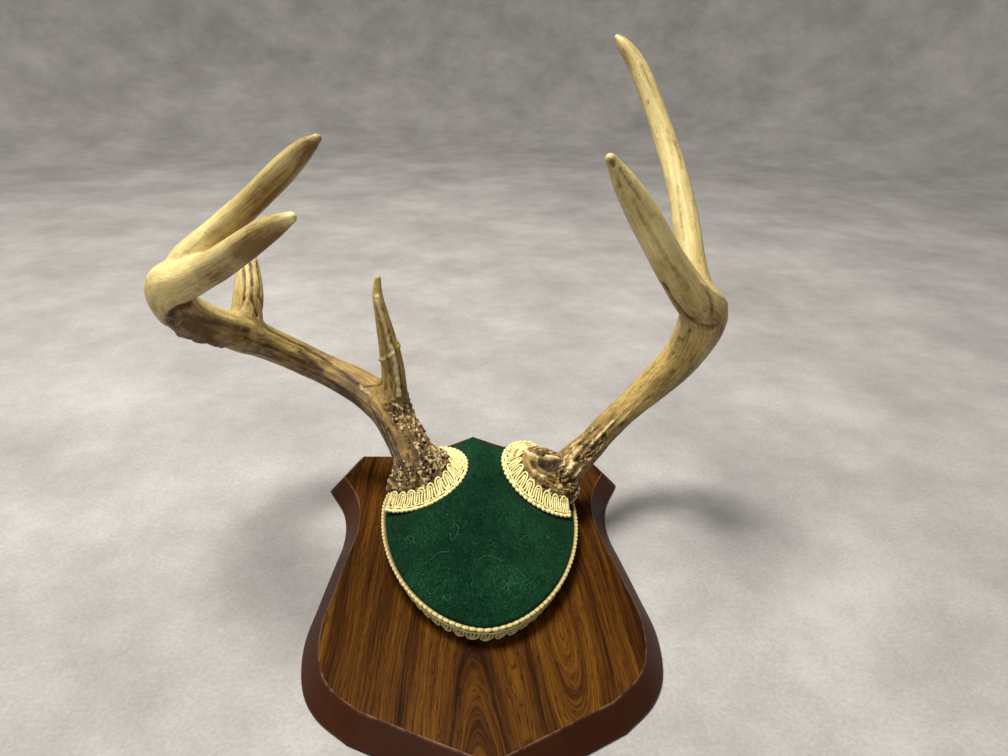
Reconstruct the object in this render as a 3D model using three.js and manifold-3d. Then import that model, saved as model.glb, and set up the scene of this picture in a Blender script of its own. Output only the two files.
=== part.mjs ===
// Whitetail antler plaque: two antlers on a felt-covered skull cap, trimmed with gimp
// braid and fixed to a bevelled shield board. Millimetres, +Z out of the board,
// +Y towards the board's top point, origin at the centre of the board's flat back.
import * as THREE from 'three';
import { mergeVertices } from 'three/addons/utils/BufferGeometryUtils.js';
import Module from 'manifold-3d';

const wasm = await Module();
wasm.setup();

// ---- driving dimensions -------------------------------------------------------------
const GAP = 0.3;

const BOARD = { thickness: 13.1, bevelWidth: 10.2, lip: 1.6 };
const FACE = {
  apex: [0, 142.6],
  apexPulls: [[16, 132.6], [34, 115.7]],
  shoulder: [60.6, 115.7],
  corner: [81.8, 116.6],
  horn: [92.5, 89.7],
  flank: [
    [81.6, 66.5], [77.2, 46], [76.8, 26], [79.3, 7], [84, -28.5], [87.3, -59],
    [83.4, -85.5], [76, -98.8], [61.5, -112],
  ],
  tipPulls: [[42, -122], [22, -132]],
  tip: [0, -142.5],
  steps: 4,
};

const SCREW = { head: 4.1, headHeight: 2.4, shank: 2, length: 16, sink: 0.5 };
const SCREW_PLACES = [[-24, 52], [24, 52], [0, -30]];
const HANGER = { y: 100, length: 46, height: 7, thickness: 0.8, sink: 0.3, tooth: 3 };
const HANGER_STEP = { length: 48, height: 9 };
const HANGER_POCKET = { length: 34, height: 15, depth: 3.2 };

// The felt cap: a flared wall, then a dome whose ridge runs along Y.
const CAP = {
  wall: 12.5,
  flare: 4.7,
  rise: 27.6,
  middle: [1, 34],
  halfWidth: 55.2,
  bottom: 102,
  top: 64,
  pointedBottom: 1.1,
  pointedTop: 1.35,
  ridge: { x: -2.5, y: 57, half: 17 },
  frontFullness: 2,
  sideFullness: 1.3,
  rings: 9,
  sides: 52,
};
const BRAID = { width: 12.7, thickness: 2.3 };

// Each braid collar is a cone band: a base ring on the felt and a smaller top ring.
// Horn stations are [x, y, z, radius], from the root to the tip.
const LEFT = {
  name: 'left',
  collar: { base: [-37.3, 50, 35.5], lean: [-0.32, -0.02], radius: 32.4, top: 21.9, ends: [-134, 88] },
  beam: [
    [-37.6, 49.2, 37.5, 18], [-37.2, 49.6, 43, 17.3], [-41.2, 56, 51, 14], [-49.5, 69.5, 62, 13],
    [-60, 81.4, 72.6, 12.4], [-77, 92.6, 82, 11.6], [-103, 102, 92.5, 10.2], [-127, 100.5, 107, 10.4],
    [-147, 85.5, 125, 11.3], [-161, 60, 143, 11.4], [-169, 39, 162, 12.2], [-167, 30, 177, 12.4],
    [-155, 25, 183, 10.6], [-144, 19, 189, 9.2], [-133, 12, 196, 8.3], [-115.5, 0.4, 209, 7.5],
    [-102.5, -8, 218.5, 6.2], [-89.5, -17, 226.5, 2.8],
  ],
  lengths: [
    { part: 'burr', from: 0, to: 2, steps: 6 },
    { part: 'beam_lower', from: 2, to: 5, steps: 7 },
    { part: 'beam_middle', from: 5, to: 8.6, steps: 9 },
    { part: 'beam_upper', from: 8.6, to: 11.5, steps: 9 },
    { part: 'beam_tip', from: 11.5, to: 17, steps: 12 },
  ],
  tines: {
    brow_tine: [
      [-54, 80, 78, 8.5], [-54.4, 83, 100, 7.2], [-56.6, 83, 117.5, 6.1], [-59, 83.4, 133, 4.8],
      [-62, 84.5, 152, 2.9], [-61.6, 85.6, 163, 1.2],
    ],
    second_tine: [
      [-147, 84, 126, 9.5], [-145.2, 97, 147, 9.2], [-146.2, 109, 159.5, 7.1], [-147.6, 117, 167, 5],
      [-148.4, 121.5, 172, 2.2],
    ],
    third_tine: [
      [-166, 30.5, 178, 5], [-158.5, 33, 187.5, 9.6], [-140, 32.6, 204.4, 8.2], [-115.7, 26.4, 225.2, 7],
      [-96.2, 19.3, 243.2, 6.4], [-86.5, 16.8, 252, 4.9], [-80, 15, 257, 2.4],
    ],
  },
};

const RIGHT = {
  name: 'right',
  collar: { base: [45, 45, 37.5], lean: [0.475, -0.155], radius: 32.4, top: 21, ends: [106, 302] },
  beam: [
    [46, 44, 30, 16], [47.5, 44, 35.5, 15.5], [52, 44.2, 40.5, 13.2], [58.5, 46, 45, 11.4],
    [66, 50.3, 51, 10.6], [75.3, 57, 56, 9.8], [87.5, 69, 62, 9.2], [101, 78, 70, 9.4],
    [119, 81, 87.5, 10.8], [132.5, 74, 109, 12.3], [139, 61, 138, 14.2], [137, 53, 153.5, 14.2],
    [125, 45, 166, 11.6], [106, 37.5, 191, 9.7], [89, 30, 216, 8.8], [76, 25.5, 234, 6.6],
    [66.6, 23.8, 247.3, 3],
  ],
  lengths: [
    { part: 'burr', from: 0, to: 3, steps: 7 },
    { part: 'beam_lower', from: 3, to: 7.6, steps: 11 },
    { part: 'beam_upper', from: 7.6, to: 11.6, steps: 11 },
    { part: 'beam_tip', from: 11.6, to: 16, steps: 12 },
  ],
  tines: {
    second_tine: [
      [139, 57, 150, 11.5], [134, 70, 171, 8.6], [132.6, 90, 192.5, 8.2], [129.6, 112, 217.5, 7.6],
      [120.8, 138, 250, 6.9], [106.8, 159, 284.5, 5.8], [98.4, 165.6, 295.6, 4.2], [94.6, 168, 299.6, 2.2],
    ],
  },
};
const HORN_SIDES = 14;

const COLOURS = {
  walnut: ['#5b3a22', 0.35],
  felt: ['#173f2c', 0.95],
  braid: ['#e2d394', 0.8],
  horn: ['#b08d5c', 0.5],
  tine: ['#d8c49a', 0.45],
  steel: ['#8f8f8c', 0.35],
};

// ---- closed meshes and booleans -----------------------------------------------------
function indexed(positions, triangles) {
  const geometry = new THREE.BufferGeometry();
  geometry.setAttribute('position', new THREE.Float32BufferAttribute(positions, 3));
  geometry.setIndex(triangles);
  return geometry;
}

function toManifold(geometry) {
  const bare = geometry.clone();
  bare.deleteAttribute('normal');
  bare.deleteAttribute('uv');
  const merged = mergeVertices(bare, 1e-4);
  return new wasm.Manifold(new wasm.Mesh({
    numProp: 3,
    vertProperties: new Float32Array(merged.attributes.position.array),
    triVerts: new Uint32Array(merged.index.array),
  }));
}

function toGeometry(solid) {
  const mesh = solid.getMesh();
  return indexed(mesh.vertProperties, Array.from(mesh.triVerts));
}

// A closed skin over rings of equal length: quads between rings, a fan on each end.
function skinRings(rings) {
  const count = rings[0].length;
  const points = rings.flat();
  const triangles = [];
  for (let ring = 0; ring < rings.length - 1; ring += 1) {
    for (let side = 0; side < count; side += 1) {
      const a = ring * count + side;
      const b = ring * count + ((side + 1) % count);
      triangles.push(a, b, b + count, a, b + count, a + count);
    }
  }
  for (const [ring, facesBack] of [[0, true], [rings.length - 1, false]]) {
    const middle = new THREE.Vector3();
    for (const point of rings[ring]) {
      middle.addScaledVector(point, 1 / count);
    }
    points.push(middle);
    for (let side = 0; side < count; side += 1) {
      const a = ring * count + side;
      const b = ring * count + ((side + 1) % count);
      triangles.push(...(facesBack ? [b, a] : [a, b]), points.length - 1);
    }
  }
  return indexed(points.flatMap((point) => point.toArray()), triangles);
}

function slab(length, height, y, z0, z1) {
  return toManifold(new THREE.BoxGeometry(length, height, z1 - z0).translate(0, y, (z0 + z1) / 2));
}

// ---- board --------------------------------------------------------------------------
// The flat face's outline, anticlockwise.
function faceOutline() {
  const half = new THREE.Shape();
  half.moveTo(...FACE.apex);
  half.bezierCurveTo(...FACE.apexPulls.flat(), ...FACE.shoulder);
  half.lineTo(...FACE.corner);
  half.lineTo(...FACE.horn);
  half.splineThru(FACE.flank.map(([x, y]) => new THREE.Vector2(x, y)));
  half.bezierCurveTo(...FACE.tipPulls.flat(), ...FACE.tip);
  const right = half.getPoints(FACE.steps);
  const left = right.slice(1, -1).map((point) => new THREE.Vector2(-point.x, point.y));
  return [...left, ...right.reverse()];
}

// Moves each outline point outward so that every edge shifts by the same distance.
function offsetOutline(points, distance) {
  const count = points.length;
  return points.map((point, index) => {
    const before = points[(index + count - 1) % count];
    const after = points[(index + 1) % count];
    const arriving = new THREE.Vector2(point.y - before.y, before.x - point.x).normalize();
    const leaving = new THREE.Vector2(after.y - point.y, point.x - after.x).normalize();
    const mitre = arriving.add(leaving);
    return point.clone().addScaledVector(mitre, (2 * distance) / mitre.lengthSq());
  });
}

function bevelledBoard() {
  const face = faceOutline();
  const base = offsetOutline(face, BOARD.bevelWidth);
  const lift = (outline, z) => outline.map((point) => new THREE.Vector3(point.x, point.y, z));
  const loops = [lift(base, 0), lift(base, BOARD.lip), lift(face, BOARD.thickness)];
  const count = face.length;
  const triangles = [];
  for (let loop = 0; loop < loops.length - 1; loop += 1) {
    for (let side = 0; side < count; side += 1) {
      const a = loop * count + side;
      const b = loop * count + ((side + 1) % count);
      triangles.push(a, b, b + count, a, b + count, a + count);
    }
  }
  for (const [a, b, c] of THREE.ShapeUtils.triangulateShape(base, [])) {
    triangles.push(c, b, a);
  }
  for (const [a, b, c] of THREE.ShapeUtils.triangulateShape(face, [])) {
    triangles.push(a + 2 * count, b + 2 * count, c + 2 * count);
  }
  return indexed(loops.flat().flatMap((point) => point.toArray()), triangles);
}

// A wood screw driven from the board's back; grow makes the hole that clears it.
function screwSolid([x, y], grow) {
  const head = SCREW.head + grow;
  const shank = SCREW.shank + grow;
  const start = grow > 0 ? -1 : SCREW.sink;
  const flat = SCREW.sink + grow;
  const neck = flat + SCREW.headHeight;
  const end = flat + SCREW.length;
  const profile = [[0, start], [head, start], [head, flat], [shank, neck], [shank, end], [0, end]];
  const lathe = new THREE.LatheGeometry(profile.map(([r, z]) => new THREE.Vector2(r, z)), 16);
  return toManifold(lathe.rotateX(Math.PI / 2).translate(x, y, 0));
}

function boardSolid() {
  const seat = HANGER.sink + HANGER.thickness + GAP;
  let solid = toManifold(bevelledBoard())
    .subtract(slab(HANGER_STEP.length, HANGER_STEP.height, HANGER.y, -1, seat))
    .subtract(slab(HANGER_POCKET.length, HANGER_POCKET.height, HANGER.y, -1, HANGER_POCKET.depth));
  for (const place of SCREW_PLACES) {
    solid = solid.subtract(screwSolid(place, GAP));
  }
  return solid;
}

// A flat steel strip with teeth along its lower edge, sunk into the board's back.
function hangerSolid() {
  const { length, height, y, thickness, sink, tooth } = HANGER;
  const shape = new THREE.Shape();
  shape.moveTo(length / 2, height / 2);
  shape.lineTo(-length / 2, height / 2);
  shape.lineTo(-length / 2, -height / 2);
  const toothed = HANGER_POCKET.length - 2 * tooth;
  for (let x = -toothed / 2; x < toothed / 2 - 0.01; x += tooth) {
    shape.lineTo(x, -height / 2);
    shape.lineTo(x + tooth / 2, -height / 2 + tooth / 2);
  }
  shape.lineTo(toothed / 2, -height / 2);
  shape.lineTo(length / 2, -height / 2);
  const strip = new THREE.ExtrudeGeometry(shape, { depth: thickness, bevelEnabled: false });
  return toManifold(strip.translate(0, y, sink));
}

// ---- skull cap ----------------------------------------------------------------------
// The rim in plan: an egg, x = w cos(a)^p and y = l sin(a), pointed at both ends.
function rimPoint(angle, grow) {
  const atTop = Math.sin(angle) > 0;
  const long = (atTop ? CAP.top : CAP.bottom) + grow;
  const power = atTop ? CAP.pointedTop : CAP.pointedBottom;
  const across = Math.sign(Math.cos(angle)) * Math.abs(Math.cos(angle)) ** power;
  return [
    CAP.middle[0] + across * (CAP.halfWidth + grow),
    CAP.middle[1] + Math.sin(angle) * long,
  ];
}

// Height of a collar's base plane over a plan point.
function collarPlane({ base, lean }, x, y) {
  return base[2] - lean[0] * (x - base[0]) - lean[1] * (y - base[1]);
}

// The felt follows each collar's base plane inside its ring and eases back outside it.
function raiseToCollars(x, y, z) {
  const ease = 8;
  return [LEFT.collar, RIGHT.collar].reduce((height, collar) => {
    const away = Math.hypot(x - collar.base[0], y - collar.base[1]);
    const share = 1 - THREE.MathUtils.smoothstep(away, collar.radius - 3, collar.radius + ease);
    return THREE.MathUtils.lerp(height, collarPlane(collar, x, y), share);
  }, z);
}

// Rings slide from the rim to the ridge: z = wall top + rise (1 - reach^fullness).
function capSolid(grow, bottom) {
  const wallTop = BOARD.thickness + CAP.wall;
  const rings = [];
  for (let step = -1; step < CAP.rings; step += 1) {
    const reach = 1 - Math.max(0, step) / CAP.rings;
    const ring = [];
    for (let side = 0; side < CAP.sides; side += 1) {
      const angle = (side / CAP.sides) * Math.PI * 2;
      const [rimX, rimY] = rimPoint(angle, grow + (step < 0 ? 0 : CAP.flare));
      const x = THREE.MathUtils.lerp(CAP.ridge.x, rimX, reach);
      const y = THREE.MathUtils.lerp(CAP.ridge.y + CAP.ridge.half * Math.sin(angle), rimY, reach);
      const front = Math.max(0, -Math.sin(angle));
      const fullness = THREE.MathUtils.lerp(CAP.sideFullness, CAP.frontFullness, front);
      const dome = wallTop + CAP.rise * (1 - reach ** fullness);
      const inside = 1 - THREE.MathUtils.smoothstep(reach, 0.75, 1);
      const felt = THREE.MathUtils.lerp(dome, raiseToCollars(x, y, dome), inside);
      ring.push(new THREE.Vector3(x, y, step < 0 ? bottom : felt + grow));
    }
    rings.push(ring);
  }
  return toManifold(skinRings(rings));
}

// ---- braids -------------------------------------------------------------------------
function rimBraidSolid() {
  const bottom = BOARD.thickness + GAP;
  const rings = [0, 1].map((top) => {
    const z = top ? bottom + CAP.wall : bottom;
    return Array.from({ length: CAP.sides }, (_, side) => {
      const angle = (side / CAP.sides) * Math.PI * 2;
      const [x, y] = rimPoint(angle, GAP + BRAID.thickness + top * CAP.flare);
      return new THREE.Vector3(x, y, z);
    });
  });
  return toManifold(skinRings(rings));
}

// A cone band around a burr between two angles, open where the burr overhangs the wall.
function collarSolid({ base, lean, radius, top, ends }) {
  const axis = new THREE.Vector3(lean[0], lean[1], 1).normalize();
  const across = new THREE.Vector3(0, 1, 0).cross(axis).normalize();
  const along = new THREE.Vector3().crossVectors(axis, across);
  const rise = Math.sqrt(BRAID.width ** 2 - (radius - top) ** 2);
  const centre = new THREE.Vector3(...base);
  const slope = new THREE.Vector2(rise, radius - top).normalize().multiplyScalar(BRAID.thickness);
  const corners = [
    [radius, GAP], [top, GAP + rise], [top + slope.x, GAP + rise + slope.y],
    [radius + slope.x, GAP + slope.y],
  ];
  const rings = [];
  const steps = 26;
  for (let step = 0; step <= steps; step += 1) {
    const angle = THREE.MathUtils.degToRad(THREE.MathUtils.lerp(ends[0], ends[1], step / steps));
    const spoke = across.clone().multiplyScalar(Math.cos(angle)).addScaledVector(along, Math.sin(angle));
    rings.push(corners.map(([r, h]) => centre.clone().addScaledVector(spoke, r).addScaledVector(axis, h)));
  }
  return toManifold(skinRings(rings));
}

// ---- antlers ------------------------------------------------------------------------
class Stem {
  constructor(stations) {
    const points = stations.map(([x, y, z]) => new THREE.Vector3(x, y, z));
    this.curve = new THREE.CatmullRomCurve3(points, false, 'centripetal');
    this.radii = stations.map((station) => station[3]);
    this.last = stations.length - 1;
    this.normals = this.turnFrames(20 * this.last);
  }

  // Normals that turn as little as possible from one sample to the next.
  turnFrames(count) {
    const normals = [];
    let normal = new THREE.Vector3(0, 1, 0);
    for (let index = 0; index <= count; index += 1) {
      const tangent = this.curve.getTangent(index / count);
      normal = normal.clone().addScaledVector(tangent, -normal.dot(tangent)).normalize();
      normals.push(normal);
    }
    return normals;
  }

  radiusAt(station) {
    const index = Math.min(Math.floor(station), this.last - 1);
    return THREE.MathUtils.lerp(this.radii[index], this.radii[index + 1], station - index);
  }

  ring(station, grow) {
    const t = station / this.last;
    const tangent = this.curve.getTangent(t);
    const normal = this.normals[Math.round(t * (this.normals.length - 1))];
    const binormal = new THREE.Vector3().crossVectors(tangent, normal);
    return Array.from({ length: HORN_SIDES }, (_, side) => {
      const angle = (side / HORN_SIDES) * Math.PI * 2;
      const radius = this.radiusAt(station) + grow;
      return this.curve.getPoint(t)
        .addScaledVector(normal, Math.cos(angle) * radius)
        .addScaledVector(binormal, Math.sin(angle) * radius);
    });
  }

  // The solid through rings at the given stations; a free tip is rounded off.
  solid(stations, grow = 0) {
    const rings = stations.map((station) => this.ring(station, grow));
    if (stations.at(-1) === this.last) {
      const reach = (this.radii[this.last] + grow) * 0.6;
      const tangent = this.curve.getTangent(1);
      const end = this.curve.getPoint(1);
      rings.push(rings.at(-1).map((point) => point.clone().lerp(end, 0.4).addScaledVector(tangent, reach)));
    }
    return toManifold(skinRings(rings));
  }

  // The same solid as a chain of convex links that overlap a little, so that a tight bend
  // can't fold into itself.
  chain(stations, grow = 0) {
    const overlap = 0.04;
    const end = stations.at(-1);
    const links = stations.slice(1).map((station, index) => {
      const first = this.ring(stations[index], grow);
      const last = this.ring(Math.min(station + overlap, end), grow);
      return wasm.Manifold.hull([...first, ...last].map((point) => point.toArray()));
    });
    const tangent = this.curve.getTangent(end / this.last);
    const reach = tangent.dot(this.curve.getPoint(end / this.last));
    return wasm.Manifold.union(links).trimByPlane(tangent.negate().toArray(), -reach);
  }
}

function evenSteps(from, to, steps) {
  return Array.from({ length: steps + 1 }, (_, step) => THREE.MathUtils.lerp(from, to, step / steps));
}

// Station shift that opens half a gap at a cut across the stem.
function halfGap(stem, station) {
  const probe = 0.05;
  const before = stem.curve.getPoint((station - probe) / stem.last);
  const after = stem.curve.getPoint((station + probe) / stem.last);
  return (GAP / 2) * (2 * probe) / before.distanceTo(after);
}

// ---- assembly -----------------------------------------------------------------------
const plaque = new THREE.Group();

function add(name, solid, [colour, roughness], metalness = 0) {
  const material = new THREE.MeshStandardMaterial({ color: colour, roughness, metalness });
  const mesh = new THREE.Mesh(toGeometry(solid), material);
  mesh.name = name;
  plaque.add(mesh);
}

add('board', boardSolid(), COLOURS.walnut);
add('hanger', hangerSolid(), COLOURS.steel, 1);

let cap = capSolid(0, BOARD.thickness + GAP);
SCREW_PLACES.forEach((place, index) => {
  add(`screw_${index + 1}`, screwSolid(place, 0), COLOURS.steel, 1);
  cap = cap.subtract(screwSolid(place, GAP));
});

const capClearance = capSolid(GAP, BOARD.thickness - 1);
let rimBraid = rimBraidSolid().subtract(capClearance);

for (const side of [LEFT, RIGHT]) {
  const stem = new Stem(side.beam);
  const burr = side.lengths[0];
  const burrRoom = stem.chain(evenSteps(burr.from, burr.to, 2 * burr.steps), 1.5 * GAP);
  const collar = collarSolid(side.collar).subtract(capClearance).subtract(burrRoom);
  cap = cap.subtract(burrRoom);
  rimBraid = rimBraid.subtract(burrRoom).subtract(collar);
  add(`braid_${side.name}_burr`, collar, COLOURS.braid);

  for (const { part, from, to, steps } of side.lengths) {
    const start = from + (from > 0 ? halfGap(stem, from) : 0);
    const end = to - (to < stem.last ? halfGap(stem, to) : 0);
    const colour = part === 'beam_tip' ? COLOURS.tine : COLOURS.horn;
    const along = evenSteps(start, end, steps);
    const piece = part === 'burr' ? stem.chain(along) : stem.solid(along);
    add(`${side.name}_${part}`, piece, colour);
  }
  const stations = side.lengths.flatMap(({ from, to, steps }) => evenSteps(from, to, steps).slice(0, -1));
  const beamRoom = stem.solid([...stations, stem.last], GAP);
  for (const [part, tineStations] of Object.entries(side.tines)) {
    const tine = new Stem(tineStations);
    const grown = tine.solid(evenSteps(0, tine.last, 2 * tine.last));
    add(`${side.name}_${part}`, grown.subtract(beamRoom), COLOURS.tine);
  }
}
add('skull_cap', cap, COLOURS.felt);
add('braid_rim', rimBraid, COLOURS.braid);

export default plaque;
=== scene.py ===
"""Whitetail antler plaque: two antlers on a felt-covered skull cap trimmed with scroll
gimp, on a shield board with a walnut-print face and a painted bevel.

Shapes are worked out in millimetres and put into the meshes in metres. +X right,
+Y to the board's top point, +Z out of the board, origin at the centre of its back.
"""

import math

import bmesh
import bpy
import numpy as np
from mathutils import Matrix, Vector


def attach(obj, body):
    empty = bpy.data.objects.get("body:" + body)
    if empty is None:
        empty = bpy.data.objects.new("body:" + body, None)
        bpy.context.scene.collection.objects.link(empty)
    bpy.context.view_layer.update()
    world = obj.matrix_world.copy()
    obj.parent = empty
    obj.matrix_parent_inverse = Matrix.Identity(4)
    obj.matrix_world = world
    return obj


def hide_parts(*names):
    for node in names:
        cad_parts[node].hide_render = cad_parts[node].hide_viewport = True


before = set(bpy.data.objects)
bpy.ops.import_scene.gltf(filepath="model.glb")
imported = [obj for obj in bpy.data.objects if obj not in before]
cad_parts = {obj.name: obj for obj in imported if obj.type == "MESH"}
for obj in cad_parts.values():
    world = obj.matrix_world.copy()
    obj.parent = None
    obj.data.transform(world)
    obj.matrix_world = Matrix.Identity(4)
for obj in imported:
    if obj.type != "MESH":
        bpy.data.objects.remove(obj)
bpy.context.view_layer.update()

MM = 0.001
TAU = 2 * math.pi

# ---- driving dimensions, in millimetres ------------------------------------------------
BOARD_THICKNESS = 13.1
BEVEL_WIDTH = 10.2
BOARD_LIP = 1.6
FACE_APEX = (0, 142.6)
FACE_APEX_PULLS = ((16, 132.6), (34, 115.7))
FACE_SHOULDER = (60.6, 115.7)
FACE_CORNER = (81.8, 116.6)
FACE_HORN = (92.5, 89.7)
FACE_FLANK = (
    (81.6, 66.5), (77.2, 46), (76.8, 26), (79.3, 7), (84, -28.5), (87.3, -59),
    (83.4, -85.5), (76, -98.8), (61.5, -112),
)
FACE_TIP_PULLS = ((42, -122), (22, -132))
FACE_TIP = (0, -142.5)
SCREW_PLACES = ((-24, 52), (24, 52), (0, -30))
SCREW_HOLE = 4.6
HANGER_Y = 100
HANGER_STEP = (48, 9, 1.4)
HANGER_POCKET = (34, 15, 3.2)

# The cap's rim is an egg in plan. Its wall flares out to the top by CAP_FLARE, and the
# dome rises by CAP_RISE to a ridge (x, middle y, half length).
CAP_WALL = 12.5
CAP_FLARE = 4.7
CAP_RISE = 27.6
CAP_MIDDLE = (1, 34)
CAP_HALF_WIDTH = 55.2
CAP_BOTTOM, CAP_TOP = 102, 64
CAP_POINTED_BOTTOM, CAP_POINTED_TOP = 1.1, 1.35
CAP_RIDGE = (-2.5, 57, 17)
CAP_FRONT_FULLNESS, CAP_SIDE_FULLNESS = 2.0, 1.3
WALL_TOP = BOARD_THICKNESS + CAP_WALL

FELT_THICKNESS = 1.2

# A collar is a cone of braid from radius at the felt to top at the burr, round an axis
# that leans by (x, y) for each millimetre up, between the two ends in degrees. Its
# scrolls crowd towards one end and lean as given from one end to the other.
GIMP_WIDTH = 12.7
CORD_TURNS = 0.55
SCROLL_RADIUS, SCROLL_HEIGHT = 0.6, 1.3
INNER_RADIUS, END_RADIUS, WARP_RADIUS = 0.5, 0.85, 0.38
TAPE_HALF_WIDTH = 5.4
RIM_ENDS = (-214, 145)
COLLARS = {
    "left": dict(base=(-37.3, 50, 35.5), lean=(-0.32, -0.02), radius=32.4, top=21.9,
                 ends=(-132, 88), crowd=-0.18, scroll_lean=(0.1, 1.0)),
    "right": dict(base=(45, 45, 37.5), lean=(0.475, -0.155), radius=32.4, top=21,
                  ends=(107, 298), crowd=0.18, scroll_lean=(-1.0, -0.1)),
}

# The antlers' rough skin is a lattice of SKIN_STEP. Stems share their grain and colour
# over STEM_BLEND where they meet, and pearls lie one to each PEARL_CELL, longer along
# the beam than across.
SKIN_STEP = 1.2
STEM_BLEND = 1.5
PEARL_CELL = (2.5, 2.5, 4.25)

# Horn stations are (x, y, z, radius), from root to tip.
LEFT_STEMS = {
    "beam": (
        (-37.6, 49.2, 37.5, 18), (-37.2, 49.6, 43, 17.3), (-41.2, 56, 51, 14),
        (-49.5, 69.5, 62, 13), (-60, 81.4, 72.6, 12.4), (-77, 92.6, 82, 11.6),
        (-103, 102, 92.5, 10.2), (-127, 100.5, 107, 10.4), (-147, 85.5, 125, 11.3),
        (-161, 60, 143, 11.4), (-169, 39, 162, 12.2), (-167, 30, 177, 12.4),
        (-155, 25, 183, 10.6), (-144, 19, 189, 9.2), (-133, 12, 196, 8.3),
        (-115.5, 0.4, 209, 7.5), (-102.5, -8, 218.5, 6.2), (-89.5, -17, 226.5, 2.8),
    ),
    "brow_tine": (
        (-54, 80, 78, 8.5), (-54.4, 83, 100, 7.2), (-56.6, 83, 117.5, 6.1),
        (-59, 83.4, 133, 4.8), (-62, 84.5, 152, 3.1), (-61.6, 85.6, 162.5, 1.9),
    ),
    "second_tine": (
        (-147, 84, 126, 9.5), (-145.2, 97, 147, 9.2), (-146.2, 109, 159.5, 7.1),
        (-147.6, 117, 167, 5), (-148.4, 121.5, 172, 2.2),
    ),
    "third_tine": (
        (-166, 30.5, 178, 5), (-158.5, 33, 187.5, 9.6), (-140, 32.6, 204.4, 8.2),
        (-115.7, 26.4, 225.2, 7), (-96.2, 19.3, 243.2, 6.4), (-86.5, 16.8, 252, 4.9),
        (-80, 15, 257, 2.4),
    ),
}
RIGHT_STEMS = {
    "beam": (
        (46, 44, 30, 16), (47.5, 44, 35.5, 15.5), (52, 44.2, 40.5, 13.2),
        (58.5, 46, 45, 11.4), (66, 50.3, 51, 10.6), (75.3, 57, 56, 9.8),
        (87.5, 69, 62, 9.2), (101, 78, 70, 9.4), (119, 81, 87.5, 10.8),
        (132.5, 74, 109, 12.3), (139, 61, 138, 14.2), (137, 53, 153.5, 14.2),
        (125, 45, 166, 11.6), (106, 37.5, 191, 9.7), (89, 30, 216, 8.8),
        (76, 25.5, 234, 6.6), (66.6, 23.8, 247.3, 3),
    ),
    "second_tine": (
        (139, 57, 150, 11.5), (134, 70, 171, 8.6), (132.6, 90, 192.5, 8.2),
        (129.6, 112, 217.5, 7.6), (120.8, 138, 250, 6.9), (106.8, 159, 284.5, 5.8),
        (98.4, 165.6, 295.6, 4.2), (94.6, 168, 299.6, 2.2),
    ),
}
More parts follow.
